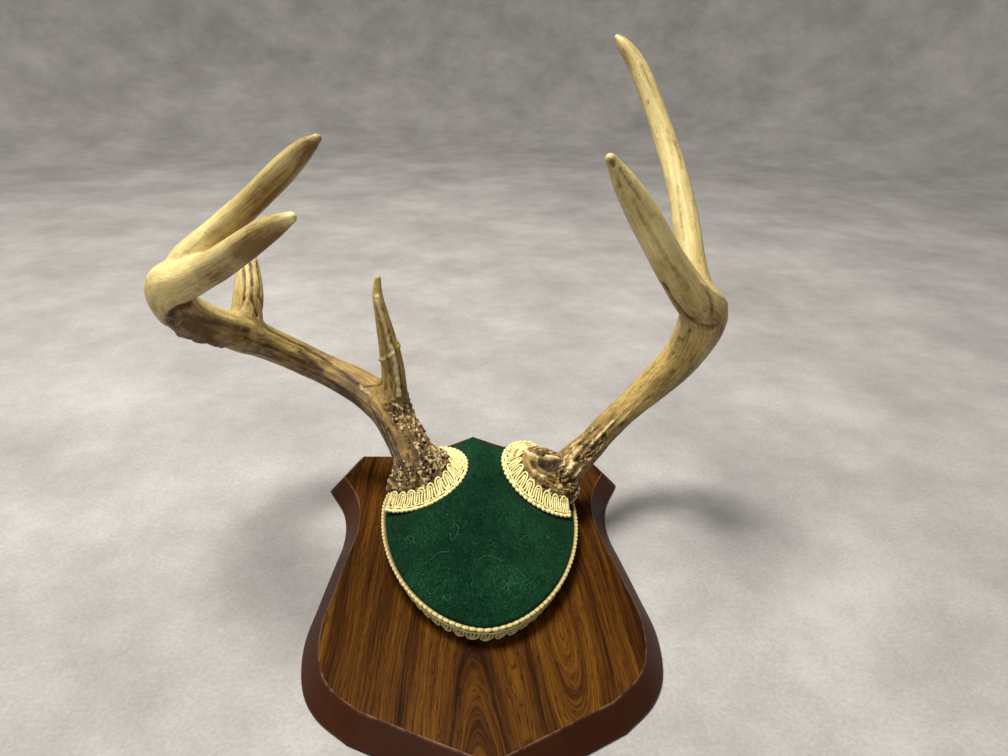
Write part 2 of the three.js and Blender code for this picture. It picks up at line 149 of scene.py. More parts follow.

# Ridges, grooves, thorns and hollows on the horn: (width, height, shade, line). A shade
# above 0 is a rubbed pale crest, below 0 a brown stain, and from the threshold below down
# the dark colour of a groove's bottom. Lines marked as painted shade darken creases, gaps
# and hollows where shade falls.
DIRT_AND_SHADOW_SHADE = -0.8
LEFT_SCARS = (
    (1.5, 1.3, 1.3, ((-62, 81.3, 151.6), (-61.4, 80.8, 149), (-58.4, 79.2, 137),
        (-55.8, 77.8, 123.9), (-53.3, 77.4, 115.3), (-52.4, 77.1, 108.4),
        (-51.9, 76.3, 100.7), (-50.9, 75.6, 94.7), (-50.7, 73.8, 86.4))),
    (1.1, -0.6, -0.85, ((-59.2, 80.9, 145.8), (-56.5, 79.3, 133.6),
        (-54.1, 78.4, 122.9), (-51, 78.6, 112.3), (-49.8, 77.6, 101.3),
        (-48.9, 76, 90.4))),
    (1.3, -0.45, -0.6, ((-63, 80.7, 144.5), (-60.9, 79.1, 134.4), (-59.1, 77.7, 123.9),
        (-56.3, 76.5, 106.2), (-54.1, 75.2, 96.7))),
    (1.2, 1.2, 0.5, ((-62.5, 82.2, 108.3), (-58.7, 77.3, 111), (-56.2, 76.6, 113.1),
        (-54, 77.1, 115.1))),
    (1.5, 1.7, 0.2, ((-51.2, 81.6, 120.5), (-50.7, 81.1, 117.5))),
    (0.7, 0.9, 1, ((-46, 80.3, 85.2), (-45.1, 81.4, 83.2))),
    (0.8, -0.6, -0.9, ((-73.6, 81.8, 88.1), (-69.3, 82.6, 88.8), (-65.1, 83, 88.4),
        (-61, 78.9, 93.1))),
    (1.3, 0.8, 0.5, ((-75.2, 81.4, 87.3), (-72.5, 79.4, 85.6), (-68.1, 76.3, 83.5),
        (-63.9, 71.8, 79.5), (-60.5, 67, 74.6), (-58.3, 62, 68.4))),
    (0.8, -0.5, -0.8, ((-58.8, 76.2, 93.3), (-57, 73.5, 85.9), (-55.7, 68.6, 78.1))),
    (0.8, -0.5, -0.8, ((-62.4, 80.6, 86.8), (-60.2, 74.7, 83.1), (-57.7, 67.8, 77.1))),
    (0.8, -0.5, -0.8, ((-55.4, 75.1, 95.3), (-54, 73.2, 86.8), (-53.5, 69.9, 78.9))),
    (0.8, -0.5, -0.7, ((-65.9, 78.9, 86.2), (-63.1, 74.3, 82.6), (-60, 69.2, 77.9))),
    (1, -0.5, -0.7, ((-65.7, 70.8, 75.6), (-60.4, 63.5, 67.6), (-54.9, 54.2, 59.4),
        (-49.3, 41.2, 52.4))),
    (0.9, -0.4, -0.55, ((-71.2, 75.8, 80.4), (-65.2, 69, 70.6), (-59.2, 60.6, 60.2),
        (-53.6, 49.9, 53))),
    (1, -0.45, -0.6, ((-60.3, 65, 71.2), (-55.6, 58.4, 66), (-51.5, 49.9, 59),
        (-47.3, 38.9, 52.3))),
    (1.6, -0.5, -0.75, ((-115.9, 95, 108.3), (-110.4, 94.5, 103.3),
        (-106.1, 93.3, 98.7), (-102.2, 92.5, 96.1))),
    (1.2, -0.45, -0.65, ((-136.4, 87.3, 130.1), (-124.9, 96.4, 118.5),
        (-113.4, 99.9, 109.7), (-100.5, 97.3, 101.3), (-86.9, 89.9, 94.3),
        (-78, 84, 89.7))),
    (1.1, -0.4, -0.5, ((-143.3, 71.1, 128.7), (-132.4, 84.8, 116.5),
        (-119, 92.2, 105.2), (-103.7, 91.8, 93.5), (-87, 84.9, 83.4))),
    (1.2, 0.5, 0.5, ((-105.5, 101.7, 105.2), (-93.9, 95.4, 98.4), (-83.4, 88, 92.9),
        (-75.9, 82.8, 88.8))),
    (2, -0.6, -0.6, ((-161.2, 29.1, 159.9), (-156, 42.4, 151.6), (-149.5, 58.2, 143.3),
        (-141.7, 73.8, 132.2))),
    # A wide shallow hollow under the elbow, browned as painted shade.
    (5, -1.9, -0.5, ((-164.8, 27.6, 158.1), (-161, 36.2, 150.4), (-156.1, 47.6, 142))),
    (2.2, 1.3, -0.79, ((-168.2, 25.3, 160.2), (-170.7, 30.4, 153.5),
        (-171.1, 37.1, 147.4), (-170.7, 43.6, 142.2), (-166.5, 44, 141),
        (-165, 50.2, 136.5), (-159.2, 51.3, 135.7), (-157.8, 56.8, 131.3),
        (-156.5, 64.7, 125.9))),
    # The crease under the elbow's pale lobe, sunk and darkened as painted shade.
    (2.4, -2.2, -0.79, ((-174.1, 37.8, 147.4), (-169.1, 26.8, 157.9),
        (-165.9, 23.8, 163.4), (-161.9, 24.3, 166.1), (-158, 30.3, 165.8))),
    (1.2, -0.7, -0.8, ((-147.7, 102.9, 163.5), (-145, 92.6, 155.7),
        (-145.1, 86.2, 148.1), (-148.1, 82.7, 142.1))),
    (1.2, -0.7, -0.85, ((-143.9, 107, 166.2), (-140.9, 95.5, 156.7),
        (-140.5, 87.5, 147.6), (-138, 85, 137.8))),
    (1.1, -0.6, -0.7, ((-140.6, 110.6, 164.4), (-137.7, 100.2, 155.8),
        (-137.2, 92, 147.9), (-135.6, 93.5, 137.2))),
    (1, 0.5, 0.5, ((-145.3, 104, 164.5), (-143, 93.5, 156.1), (-143, 85.8, 146.9))),
    (0.9, 0.2, 1, ((-88.5, -19.6, 226.7), (-88.3, -19.2, 225.2))),
)
RIGHT_SCARS = (
    (1, -0.3, -0.4, ((108.1, 151.5, 283.7), (112.3, 146.5, 275.7),
        (117.2, 140.5, 266))),
    (0.9, -0.4, -0.6, ((112, 141.1, 263.5), (112.4, 140.4, 261.7))),
    (1.1, -0.3, -0.35, ((128.7, 123.3, 240.8), (130.5, 117.3, 233.8),
        (130.8, 110.5, 226.9))),
    (1.1, -0.2, -0.3, ((123.8, 127.5, 247.5), (125.5, 114.2, 231.2),
        (127.1, 96.6, 209.9), (127.8, 78.3, 189.5))),
    (1.1, -0.2, -0.3, ((136.2, 97.1, 209.8), (135.8, 79.2, 192.4),
        (135.6, 66.1, 179.2))),
    (1, -0.3, -0.5, ((67, 20.8, 246.7), (67.9, 20.5, 244.8))),
    (1, -0.3, -0.5, ((70.4, 20.2, 236.8), (71.4, 20.3, 234.3))),
    (1, -0.3, -0.5, ((71.1, 20.2, 243.4), (76.8, 19.1, 235.1), (82.9, 19.7, 228.3))),
    (0.8, -0.3, -0.4, ((89.5, 21, 218.5), (93.1, 22.7, 218.7), (96.6, 24.1, 215.1),
        (99.5, 25.2, 211))),
    (1.3, -0.4, -0.45, ((79.2, 19.3, 227.3), (90.8, 22.5, 209.5), (104.1, 27.4, 191.4),
        (118.6, 31.1, 174.9))),
    # The next two scars paint shadow along the front tine's underside over the beam.
    (2.2, -1.6, -0.6, ((106, 36.2, 174.9), (112.4, 38.4, 165.6), (119, 39.4, 157.7),
        (125.3, 40.1, 152.4))),
    (2, -0.7, -0.35, ((125.7, 40.8, 151.5), (133.9, 40.3, 147.8), (142.1, 41, 147.4))),
    (4, 1.3, 0.1, ((109.2, 31.6, 177.1), (121.6, 34.2, 162.8), (132.4, 36.8, 154.9),
        (141.1, 39, 154))),
    (1.6, -0.8, -0.45, ((132.9, 37.6, 170.1), (136.8, 37.4, 163.4), (136.8, 37, 158))),
    (1.4, 0.7, 0.5, ((126.5, 35.1, 176.5), (134.9, 40.6, 170.9), (142.7, 43.8, 165.4),
        (150, 49.4, 158.3))),
    (1, -0.4, -0.55, ((73.6, 50.7, 63.8), (90.5, 66.3, 71.2), (109.6, 74.7, 89.2),
        (123.3, 65.9, 115.2), (128.7, 47.2, 142.4))),
    (1, -0.4, -0.6, ((81.8, 50.9, 60.5), (97.6, 65.6, 66.9), (114.7, 70.7, 83.7),
        (127.2, 62.8, 108.1))),
    (1.1, -0.4, -0.5, ((66.8, 48.6, 62.2), (82, 62.8, 68.8), (103.8, 77.3, 85),
        (118.1, 75.7, 106.4), (126.2, 56.3, 133.2))),
    (1.2, -1, -1, ((60.5, 35.9, 49.8), (65.9, 39.5, 54.2), (71.5, 43.1, 57.1))),
    (1.1, -0.9, -0.9, ((73.1, 46.2, 60.4), (78.9, 50, 61.8), (85.2, 56.6, 64.6))),
    (1.1, -0.9, -0.9, ((64, 40.3, 56), (69, 44.7, 59.9), (73.5, 50.1, 63.4))),
    (1.4, 1.3, 0.8, ((56.4, 34.6, 49.2), (61.2, 37.9, 53), (63.9, 38.9, 53.8))),
    (1.3, 1.2, 0.8, ((67.4, 42.3, 57.7), (71.7, 45.5, 60.1), (75.4, 48.6, 62))),
    (1.2, 1.1, 0.8, ((59.4, 39.7, 54.9), (64.3, 43.7, 59.1))),
    (1.2, 1.1, 0.7, ((79.2, 52.5, 64.1), (85.5, 59.3, 66.9), (90.9, 64.1, 69.4))),
    # A dark line along the lip's upper edge, painted as the shadow of the gap under the
    # braid.
    (0.9, -0.9, -1, ((26.4, 50.1, 53.6), (27.4, 53.9, 53.9), (30.1, 57.9, 53.1),
        (33.4, 61, 51.1), (34.7, 51.8, 55.1))),
    (2.6, -1.2, 0.15, ((30.1, 57.4, 49.8), (31.5, 45.6, 54.8))),
    # The next four scars paint shadow into the burr's crater; the last two also sink it.
    (4.2, 0, -1, ((41.4, 44.3, 50.1), (43.7, 42, 51.1), (46.8, 40.9, 52.1),
        (50.5, 40.3, 53.2))),
    (4, 0, -1, ((42.2, 39.5, 49.7), (45.8, 37.6, 50.5), (49, 38, 51.7))),
    (2.6, -3.2, -1, ((42.3, 41.4, 50.4), (44.7, 40.1, 51.2), (47.9, 40, 52.3))),
    (2.4, -2.8, -1, ((36, 41.2, 54), (36, 38, 53.5))),
    (1.3, 2, 1.7, ((32.5, 52.4, 54.4), (35, 47.3, 55.2), (38.1, 45.8, 53.4),
        (42, 49.8, 49.3))),
    (1.3, 2.4, 1.7, ((42, 49.8, 49.3), (44.5, 48.8, 50.8), (46.9, 47.3, 52.2),
        (49.8, 45.4, 53.8), (51.5, 43.4, 54.3))),
    (1.5, 1.4, 0.35, ((40.8, 48, 50.1), (40.1, 44.2, 49.4), (40.9, 39.7, 49.2))),
    (1.8, 0.9, 0.5, ((33.1, 41.1, 54.6), (33.9, 36, 53.3), (35.4, 31.1, 51.2))),
    # A groove under the beam where it leaves the burr, darkened as painted shade.
    (3, -1.6, -1, ((53.2, 34, 48.9), (56.4, 32.9, 45.7), (59.2, 33.2, 42.4))),
    (1.2, 1.4, 0.9, ((55.1, 32.6, 46), (57.1, 34.4, 48.5), (60.5, 36.5, 50.9))),
    (1, 1.1, 0.8, ((57.8, 32.8, 43.5), (61.8, 35.1, 46.4), (65.9, 37.6, 49.3))),
    (1.2, 1.2, 0.9, ((51.9, 34.5, 49.4), (54, 36.7, 51.7), (56.1, 38.6, 53.4))),
    (1.2, 1, 0.7, ((55.2, 35.7, 50.8), (52.4, 32.6, 46.8), (49.3, 27.7, 45.6))),
    (1.6, 1.2, 0.6, ((41.1, 29.7, 49.7), (42.3, 29.4, 49.1))),
    (1.8, 1.2, 0.6, ((37, 25.4, 44.4), (38.8, 24.6, 44.2))),
)
# Soft patches of colour: (place, radius, amount), browner above 0 and cleaner below.
LEFT_TONES = (
    ((-166.5, 17.9, 173.3), 16, -0.2),
    ((-154.1, 13.5, 184.3), 14, -0.1),
    ((-166, 36.6, 147.3), 12, 0.25),
    ((-159.5, 47.9, 138.7), 10, 0.3),
    ((-132.2, 84.8, 117.9), 13, 0.15),
    ((-103.6, 92.1, 94.9), 14, 0.3),
    ((-83.8, 83.5, 79.5), 13, 0.35),
    ((-65.1, 66.6, 56.8), 18, 0.3),
    ((-52.8, 43.9, 47.7), 12, 0.15),
    ((-97.8, -13.8, 216.8), 16, 0.5),
    ((-115.4, -6.1, 205.2), 15, 0.6),
    ((-136.3, 5.7, 191.2), 13, 0.45),
    ((-154, 19.4, 173.9), 13, 0.15),
    ((-87.9, -19.1, 227.3), 5, -0.6),
    ((-81.9, 12.4, 254.3), 10, 0.5),
    ((-91.4, 12.6, 244.8), 14, 0.35),
    ((-104.2, 16.6, 231.7), 13, 0.45),
    ((-118.4, 20.8, 219.6), 12, 0.35),
    ((-131.2, 24.8, 206.5), 9, 0.2),
    ((-141.9, 90.9, 153), 12, 0.1),
    ((-62.6, 81.5, 152.2), 9, -0.9),
    ((-60.2, 78.8, 133.8), 10, -0.5),
    ((-55.8, 76.9, 117.3), 11, -0.45),
    ((-52.7, 75.9, 100), 10, -0.3),
)
RIGHT_TONES = (
    ((109.5, 71.7, 83.3), 16, -0.45),
    ((123.8, 65.3, 109.8), 16, -0.5),
    ((130.2, 49.5, 136.1), 12, -0.2),
    ((139.1, 38.2, 161.3), 10, 0.1),
    ((94.4, 23.7, 204.8), 16, -0.3),
    ((66.8, 20.8, 246.2), 6, 0.3),
    ((80.5, 51.9, 63), 14, -0.45),
    ((66.1, 42.1, 57.8), 10, -0.3),
    ((97, 161.3, 291.3), 16, 0.35),
    ((110.5, 144.4, 269.8), 14, 0.15),
    ((134, 88.4, 202.5), 22, 0.08),
)

# Balls (place, radius) on the right burr that have no pearls.
RIGHT_BARE = (((44.2, 41.2, 51.2), 9), ((36.5, 43, 54.1), 8), ((30.8, 51, 53.7), 8))

# Hairs and specks lying on the felt.
HAIR_RADIUS, SPECK_RADIUS = 0.065, 0.24
LINT = (
    ((-16.7, -14, 44.2), (-14.8, -11.7, 45.3), (-12.8, -15.2, 45), (-14.4, -20.4, 43.3),
     (-16.7, -23, 41.9), (-17.8, -17.1, 43.1)),
    ((-44.7, -9.4, 31.9), (-42.2, -7, 33.8), (-39.5, -10.1, 34.8), (-38.6, -16, 34.1)),
    ((-30.7, -47.9, 28.8), (-28.7, -50.7, 28.6), (-25.9, -50.8, 29.6)),
    ((-21.4, -54.3, 29.9), (-19.4, -57.4, 29.3), (-17.2, -55.9, 30.6)),
    ((18.4, -40.1, 35.8), (20.9, -42.2, 34.3), (24.1, -44.5, 32.4)),
    ((-2.1, -37.7, 40), (1.4, -35.3, 40.8), (6.6, -35.6, 40.1), (11.5, -38, 38.4)),
    ((-28.9, -30.9, 35.2), (-24.1, -28, 38), (-18.5, -29.6, 39.5)),
    ((8.9, -54.2, 33), (13.3, -50.5, 33.6), (16.3, -44.9, 34.8)),
    ((22.5, -21.1, 39.8), (27.1, -16.1, 39.1), (30.5, -18.5, 37.1)),
)
SPECKS = (
    (26.8, 4.1, 42.5), (-19.4, -3.1, 45.5), (-33.3, -38.3, 30.9), (4.5, -25.8, 43.4),
    (11.4, -62.8, 28.9), (-6.5, -51.4, 34.6), (33, -33.5, 32.2), (-27.6, -5.6, 41.7),
)

# ---- camera ----------------------------------------------------------------------------
IMAGE_WIDTH = 1008
FOCAL_PIXELS = 757
CAMERA_PLACE = (-15.4, -369.9, 316.0)
CAMERA_DOWN = math.radians(26.09)
CAMERA_TURN = math.radians(4.32)
CAMERA_ROLL = math.radians(1.35)


def make_camera():
    """Looks down by CAMERA_DOWN and right by CAMERA_TURN, then rolls by CAMERA_ROLL."""
    down, turn, roll = CAMERA_DOWN, CAMERA_TURN, CAMERA_ROLL
    ahead = np.array([math.sin(turn) * math.cos(down), math.cos(turn) * math.cos(down),
                      -math.sin(down)])
    right = np.array([math.cos(turn), -math.sin(turn), 0.0])
    up = np.cross(right, ahead)
    right, up = (math.cos(roll) * right + math.sin(roll) * up,
                 -math.sin(roll) * right + math.cos(roll) * up)
    data = bpy.data.cameras.new("camera")
    data.sensor_width = 36.0
    data.lens = FOCAL_PIXELS / IMAGE_WIDTH * data.sensor_width
    data.clip_start, data.clip_end = 0.01, 50.0
    camera = bpy.data.objects.new("camera", data)
    axes = Matrix(np.column_stack([right, up, -ahead]).tolist()).to_4x4()
    camera.matrix_world = Matrix.Translation(Vector(CAMERA_PLACE) * MM) @ axes
    bpy.context.scene.collection.objects.link(camera)
    bpy.context.scene.camera = camera


# ---- numbers that look random but never change -----------------------------------------
TABLE = np.random.default_rng(7).random(1 << 16)


def picked(cell, seed):
    """A steady random number from 0 to 1 for each whole-number cell."""
    i, j, k = cell[..., 0], cell[..., 1], cell[..., 2]
    return TABLE[(i * 73856093 ^ j * 19349663 ^ k * 83492791 ^ seed * 26544357) & 0xFFFF]


def noise(p, seed=0):
    """Smooth noise from -1 to 1: a random value at each whole-number corner, blended
    along each axis by 6t^5 - 15t^4 + 10t^3."""
    cell = np.floor(p).astype(np.int64)
    t = p - cell
    w = t * t * t * (t * (t * 6 - 15) + 10)
    total = np.zeros(len(p))
    for corner in np.ndindex(2, 2, 2):
        c = np.array(corner)
        total += np.prod(np.where(c, w, 1 - w), axis=1) * picked(cell + c, seed)
    return 2 * total - 1


def layered(p, seed=0, layers=3):
    """Sum of noise at doubled detail and half strength each time, from about -1 to 1."""
    parts = [noise(p * 2**i, seed + i) * 0.5**i for i in range(layers)]
    return sum(parts) / sum(0.5**i for i in range(layers))


def cells(p, seed=0):
    """Distance to the nearest and to the second nearest of the points scattered one to
    each unit cell, and the nearest point's own random number."""
    cell = np.floor(p).astype(np.int64)
    first = np.full(len(p), 9.0)
    second = np.full(len(p), 9.0)
    own = np.zeros(len(p))
    for step in np.ndindex(3, 3, 3):
        c = cell + np.array(step) - 1
        spot = c + np.stack([picked(c, seed + i) for i in range(3)], axis=1)
        away = np.linalg.norm(p - spot, axis=1)
        nearer = away < first
        second = np.where(nearer, first, np.minimum(second, away))
        own = np.where(nearer, picked(c, seed + 9), own)
        first = np.where(nearer, away, first)
    return first, second, own


def smooth(x, low, high):
    """A smooth step, 3t^2 - 2t^3, from 0 at low to 1 at high."""
    t = np.clip((x - low) / (high - low), 0, 1)
    return t * t * (3 - 2 * t)


def unit(v):
    """Each vector divided by its length."""
    return v / np.maximum(np.linalg.norm(v, axis=-1, keepdims=True), 1e-9)


def circle_round(side, up, sides):
    """For each place, a unit circle of sides points: cos * side + sin * up."""
    angle = np.arange(sides) / sides * TAU
    return (np.cos(angle)[None, :, None] * side[:, None]
            + np.sin(angle)[None, :, None] * up[:, None])


def run_along(line):
    """How far along a polyline each of its points lies."""
    steps = np.linalg.norm(np.diff(line, axis=0), axis=1)
    return np.concatenate([[0], np.cumsum(steps)])


def cap_ends(rings, sides):
    """The two end faces of a tube of rings."""
    return np.stack([np.arange(sides), np.arange(sides)[::-1] + (rings - 1) * sides])


# ---- meshes from arrays ----------------------------------------------------------------
def grid_faces(rows, columns):
    """Quads of a grid of rows x columns points whose last column joins the first."""
    r = np.arange(rows - 1)[:, None]
    c = np.arange(columns)[None, :]
    r2, c2 = r + 1, (c + 1) % columns
    quads = np.stack(np.broadcast_arrays(
        r * columns + c, r * columns + c2, r2 * columns + c2, r2 * columns + c), axis=-1)
    return quads.reshape(-1, 4)


def new_piece(name, points, faces, material, smooth_faces=True, link=True):
    """A mesh object from points in millimetres and a list of arrays of faces, each array
    with one number of corners."""
    mesh = bpy.data.meshes.new(name)
    faces = [np.asarray(f, np.int32) for f in faces if len(f)]
    sizes = np.concatenate([np.full(len(f), f.shape[1]) for f in faces]).astype(np.int32)
    mesh.vertices.add(len(points))
    mesh.vertices.foreach_set("co", (np.asarray(points) * MM).astype(np.float32).ravel())
    mesh.loops.add(int(sizes.sum()))
    mesh.loops.foreach_set("vertex_index", np.concatenate([f.ravel() for f in faces]))
    mesh.polygons.add(len(sizes))
    starts = np.concatenate([[0], np.cumsum(sizes)[:-1]]).astype(np.int32)
    mesh.polygons.foreach_set("loop_start", starts)
    mesh.update(calc_edges=True)
    mesh.validate()
    mesh.polygons.foreach_set("use_smooth", np.full(len(mesh.polygons), smooth_faces))
    for m in material if isinstance(material, (list, tuple)) else [material]:
        mesh.materials.append(m)
    piece = bpy.data.objects.new(name, mesh)
    bpy.context.scene.collection.objects.link(piece)
    if link:
        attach(piece, "root")
    return piece


def give(piece, name, values, kind="FLOAT"):
    """Stores values on the piece's points as a named attribute."""
    layer = piece.data.attributes.new(name, kind, "POINT")
    field = "vector" if kind == "FLOAT_VECTOR" else "value"
    layer.data.foreach_set(field, np.asarray(values, np.float32).ravel())


def apply_modifiers(piece):
    """Makes the piece's modifiers part of its mesh."""
    evaluated = piece.evaluated_get(bpy.context.evaluated_depsgraph_get())
    done = bpy.data.meshes.new_from_object(evaluated)
    old = piece.data
    piece.modifiers.clear()
    piece.data = done
    done.name = old.name
    bpy.data.meshes.remove(old)


def points_of(piece):
    """The piece's points in millimetres."""
    co = np.zeros(len(piece.data.vertices) * 3, np.float32)
    piece.data.vertices.foreach_get("co", co)
    return co.reshape(-1, 3).astype(float) / MM


# ---- shader nodes ----------------------------------------------------------------------
def add(tree, kind, inputs=None, **settings):
    """A node with its settings and its inputs, each a number, a colour or a socket."""
    made = tree.nodes.new(kind)
    for key, value in settings.items():
        setattr(made, key, value)
    for key, value in (inputs or {}).items():
        if isinstance(value, bpy.types.NodeSocket):
            tree.links.new(value, made.inputs[key])
        else:
            made.inputs[key].default_value = value
    return made


def math_node(tree, operation, a, b=0.0, clamp=False):
    """One sum on two values, held to 0..1 if clamp."""
    return add(tree, "ShaderNodeMath", {0: a, 1: b}, operation=operation,
               use_clamp=clamp).outputs[0]


def remap(tree, value, low, high, to_low=0.0, to_high=1.0):
    """value from low..high carried smoothly to to_low..to_high, and held outside it."""
    return add(tree, "ShaderNodeMapRange",
               {"Value": value, "From Min": low, "From Max": high, "To Min": to_low,
                "To Max": to_high}, interpolation_type="SMOOTHSTEP").outputs["Result"]


def mix(tree, factor, a, b):
    """Colour a at factor 0, b at 1 and a straight blend between."""
    made = tree.nodes.new("ShaderNodeMix")
    made.data_type = "RGBA"
    for socket, value in ((made.inputs[0], factor), (made.inputs[6], a),
                          (made.inputs[7], b)):
        if isinstance(value, bpy.types.NodeSocket):
            tree.links.new(value, socket)
        else:
            socket.default_value = value
    return made.outputs[2]


def colour(text):
    """A linear colour from the usual six hexadecimal digits."""
    parts = [int(text[i:i + 2], 16) / 255 for i in (0, 2, 4)]
    return tuple(((c + 0.055) / 1.055) ** 2.4 if c > 0.04045 else c / 12.92
                 for c in parts) + (1.0,)


def ramp(tree, value, stops):
    """A colour ramp through (place, colour) stops."""
    made = add(tree, "ShaderNodeValToRGB", {"Fac": value})
    while len(made.color_ramp.elements) < len(stops):
        made.color_ramp.elements.new(0.5)
    for element, (place, tint) in zip(made.color_ramp.elements, stops):
        element.position, element.color = place, tint
    return made.outputs["Color"]


def attribute(tree, name, output="Fac"):
    """A named attribute stored on the piece's points."""
    return add(tree, "ShaderNodeAttribute", attribute_name=name).outputs[output]


def object_place(tree):
    """The place on the object, in metres."""
    return add(tree, "ShaderNodeTexCoord").outputs["Object"]


def stretched(tree, vector, scale):
    """A vector multiplied by scale, axis by axis."""
    return add(tree, "ShaderNodeMapping", {"Vector": vector, "Scale": scale}).outputs[0]


def noise_node(tree, vector, scale, detail=4.0, roughness=0.55, distortion=0.0):
    """Layered noise from 0 to 1."""
    return add(tree, "ShaderNodeTexNoise",
               {"Vector": vector, "Scale": scale, "Detail": detail,
                "Roughness": roughness, "Distortion": distortion}).outputs["Fac"]


def bump_of(tree, height, strength, distance):
    """The surface's normal, tilted by a height that stands distance metres at 1."""
    return add(tree, "ShaderNodeBump", {"Height": height, "Strength": strength,
                                        "Distance": distance}).outputs["Normal"]


def new_material(name):
    """An empty material: its tree and its Principled shader."""
    material = bpy.data.materials.new(name)
    material.use_nodes = True
    tree = material.node_tree
    tree.nodes.clear()
    shader = tree.nodes.new("ShaderNodeBsdfPrincipled")
    out = tree.nodes.new("ShaderNodeOutputMaterial")
    tree.links.new(shader.outputs[0], out.inputs[0])
    return material, tree, shader


def put(tree, shader, **values):
    """Fills the shader's sockets, written with underscores for spaces."""
    for key, value in values.items():
        socket = shader.inputs[key.replace("_", " ")]
        if isinstance(value, bpy.types.NodeSocket):
            tree.links.new(value, socket)
        else:
            socket.default_value = value


def new_group(name, inputs, outputs):
    """A node group with named sockets: {name: (type, default)} in, {name: type} out."""
    tree = bpy.data.node_groups.new(name, "ShaderNodeTree")
    for label, (kind, default) in inputs.items():
        socket = tree.interface.new_socket(label, in_out="INPUT", socket_type=kind)
        if default is not None:
            socket.default_value = default
    for label, kind in outputs.items():
        tree.interface.new_socket(label, in_out="OUTPUT", socket_type=kind)
    return tree, tree.nodes.new("NodeGroupInput"), tree.nodes.new("NodeGroupOutput")


FLOAT, VECTOR = "NodeSocketFloat", "NodeSocketVector"


def build_dust():
    """Specks: 1 in small spots that are scattered with the given number per metre."""
    tree, start, end = new_group(
        "dust specks",
        {"Vector": (VECTOR, None), "Per metre": (FLOAT, 160.0), "Size": (FLOAT, 0.1),
         "Share": (FLOAT, 0.2)}, {"Mask": FLOAT})
    spots = add(tree, "ShaderNodeTexVoronoi",
                {"Vector": start.outputs["Vector"], "Scale": start.outputs["Per metre"]})
    near = math_node(tree, "LESS_THAN", spots.outputs["Distance"], start.outputs["Size"])
    red = add(tree, "ShaderNodeSeparateColor", {"Color": spots.outputs["Color"]})
    kept = math_node(tree, "LESS_THAN", red.outputs[0], start.outputs["Share"])
    tree.links.new(math_node(tree, "MULTIPLY", near, kept), end.inputs["Mask"])
    return tree


def build_mottle():
    """Cloudy variation: two noises of different size, mixed, from 0 to 1."""
    tree, start, end = new_group(
        "cloudy variation",
        {"Vector": (VECTOR, None), "Large": (FLOAT, 20.0), "Small": (FLOAT, 120.0),
         "Contrast": (FLOAT, 0.25)}, {"Value": FLOAT})
    large = noise_node(tree, start.outputs["Vector"], start.outputs["Large"], 3.0)
    small = noise_node(tree, start.outputs["Vector"], start.outputs["Small"], 5.0, 0.65)
    both = math_node(tree, "ADD", math_node(tree, "MULTIPLY", large, 0.6),
                     math_node(tree, "MULTIPLY", small, 0.4))
    low = math_node(tree, "SUBTRACT", 0.5, start.outputs["Contrast"])
    high = math_node(tree, "ADD", 0.5, start.outputs["Contrast"])
    tree.links.new(remap(tree, both, low, high), end.inputs["Value"])
    return tree


def build_streaks():
    """Fine streaks along the third axis of the given coordinates, from 0 to 1."""
    tree, start, end = new_group(
        "fine streaks", {"Vector": (VECTOR, None), "Across": (FLOAT, 1.0),
                         "Along": (FLOAT, 0.1)}, {"Value": FLOAT})
    scale = add(tree, "ShaderNodeCombineXYZ",
                {0: start.outputs["Across"], 1: start.outputs["Across"],
                 2: start.outputs["Along"]})
    drawn = add(tree, "ShaderNodeVectorMath",
                {0: start.outputs["Vector"], 1: scale.outputs[0]}, operation="MULTIPLY")
    value = noise_node(tree, drawn.outputs[0], 1.0, 5.0, 0.6)
    tree.links.new(remap(tree, value, 0.3, 0.7), end.inputs["Value"])
    return tree


GROUPS = {"dust": build_dust(), "mottle": build_mottle(), "streaks": build_streaks()}


def placed(tree, group, inputs):
    """One of the GROUPS placed in a material with its own inputs."""
    made = add(tree, "ShaderNodeGroup", node_tree=GROUPS[group])
    for key, value in inputs.items():
        if isinstance(value, bpy.types.NodeSocket):
            tree.links.new(value, made.inputs[key])
        else:
            made.inputs[key].default_value = value
    return made.outputs[0]


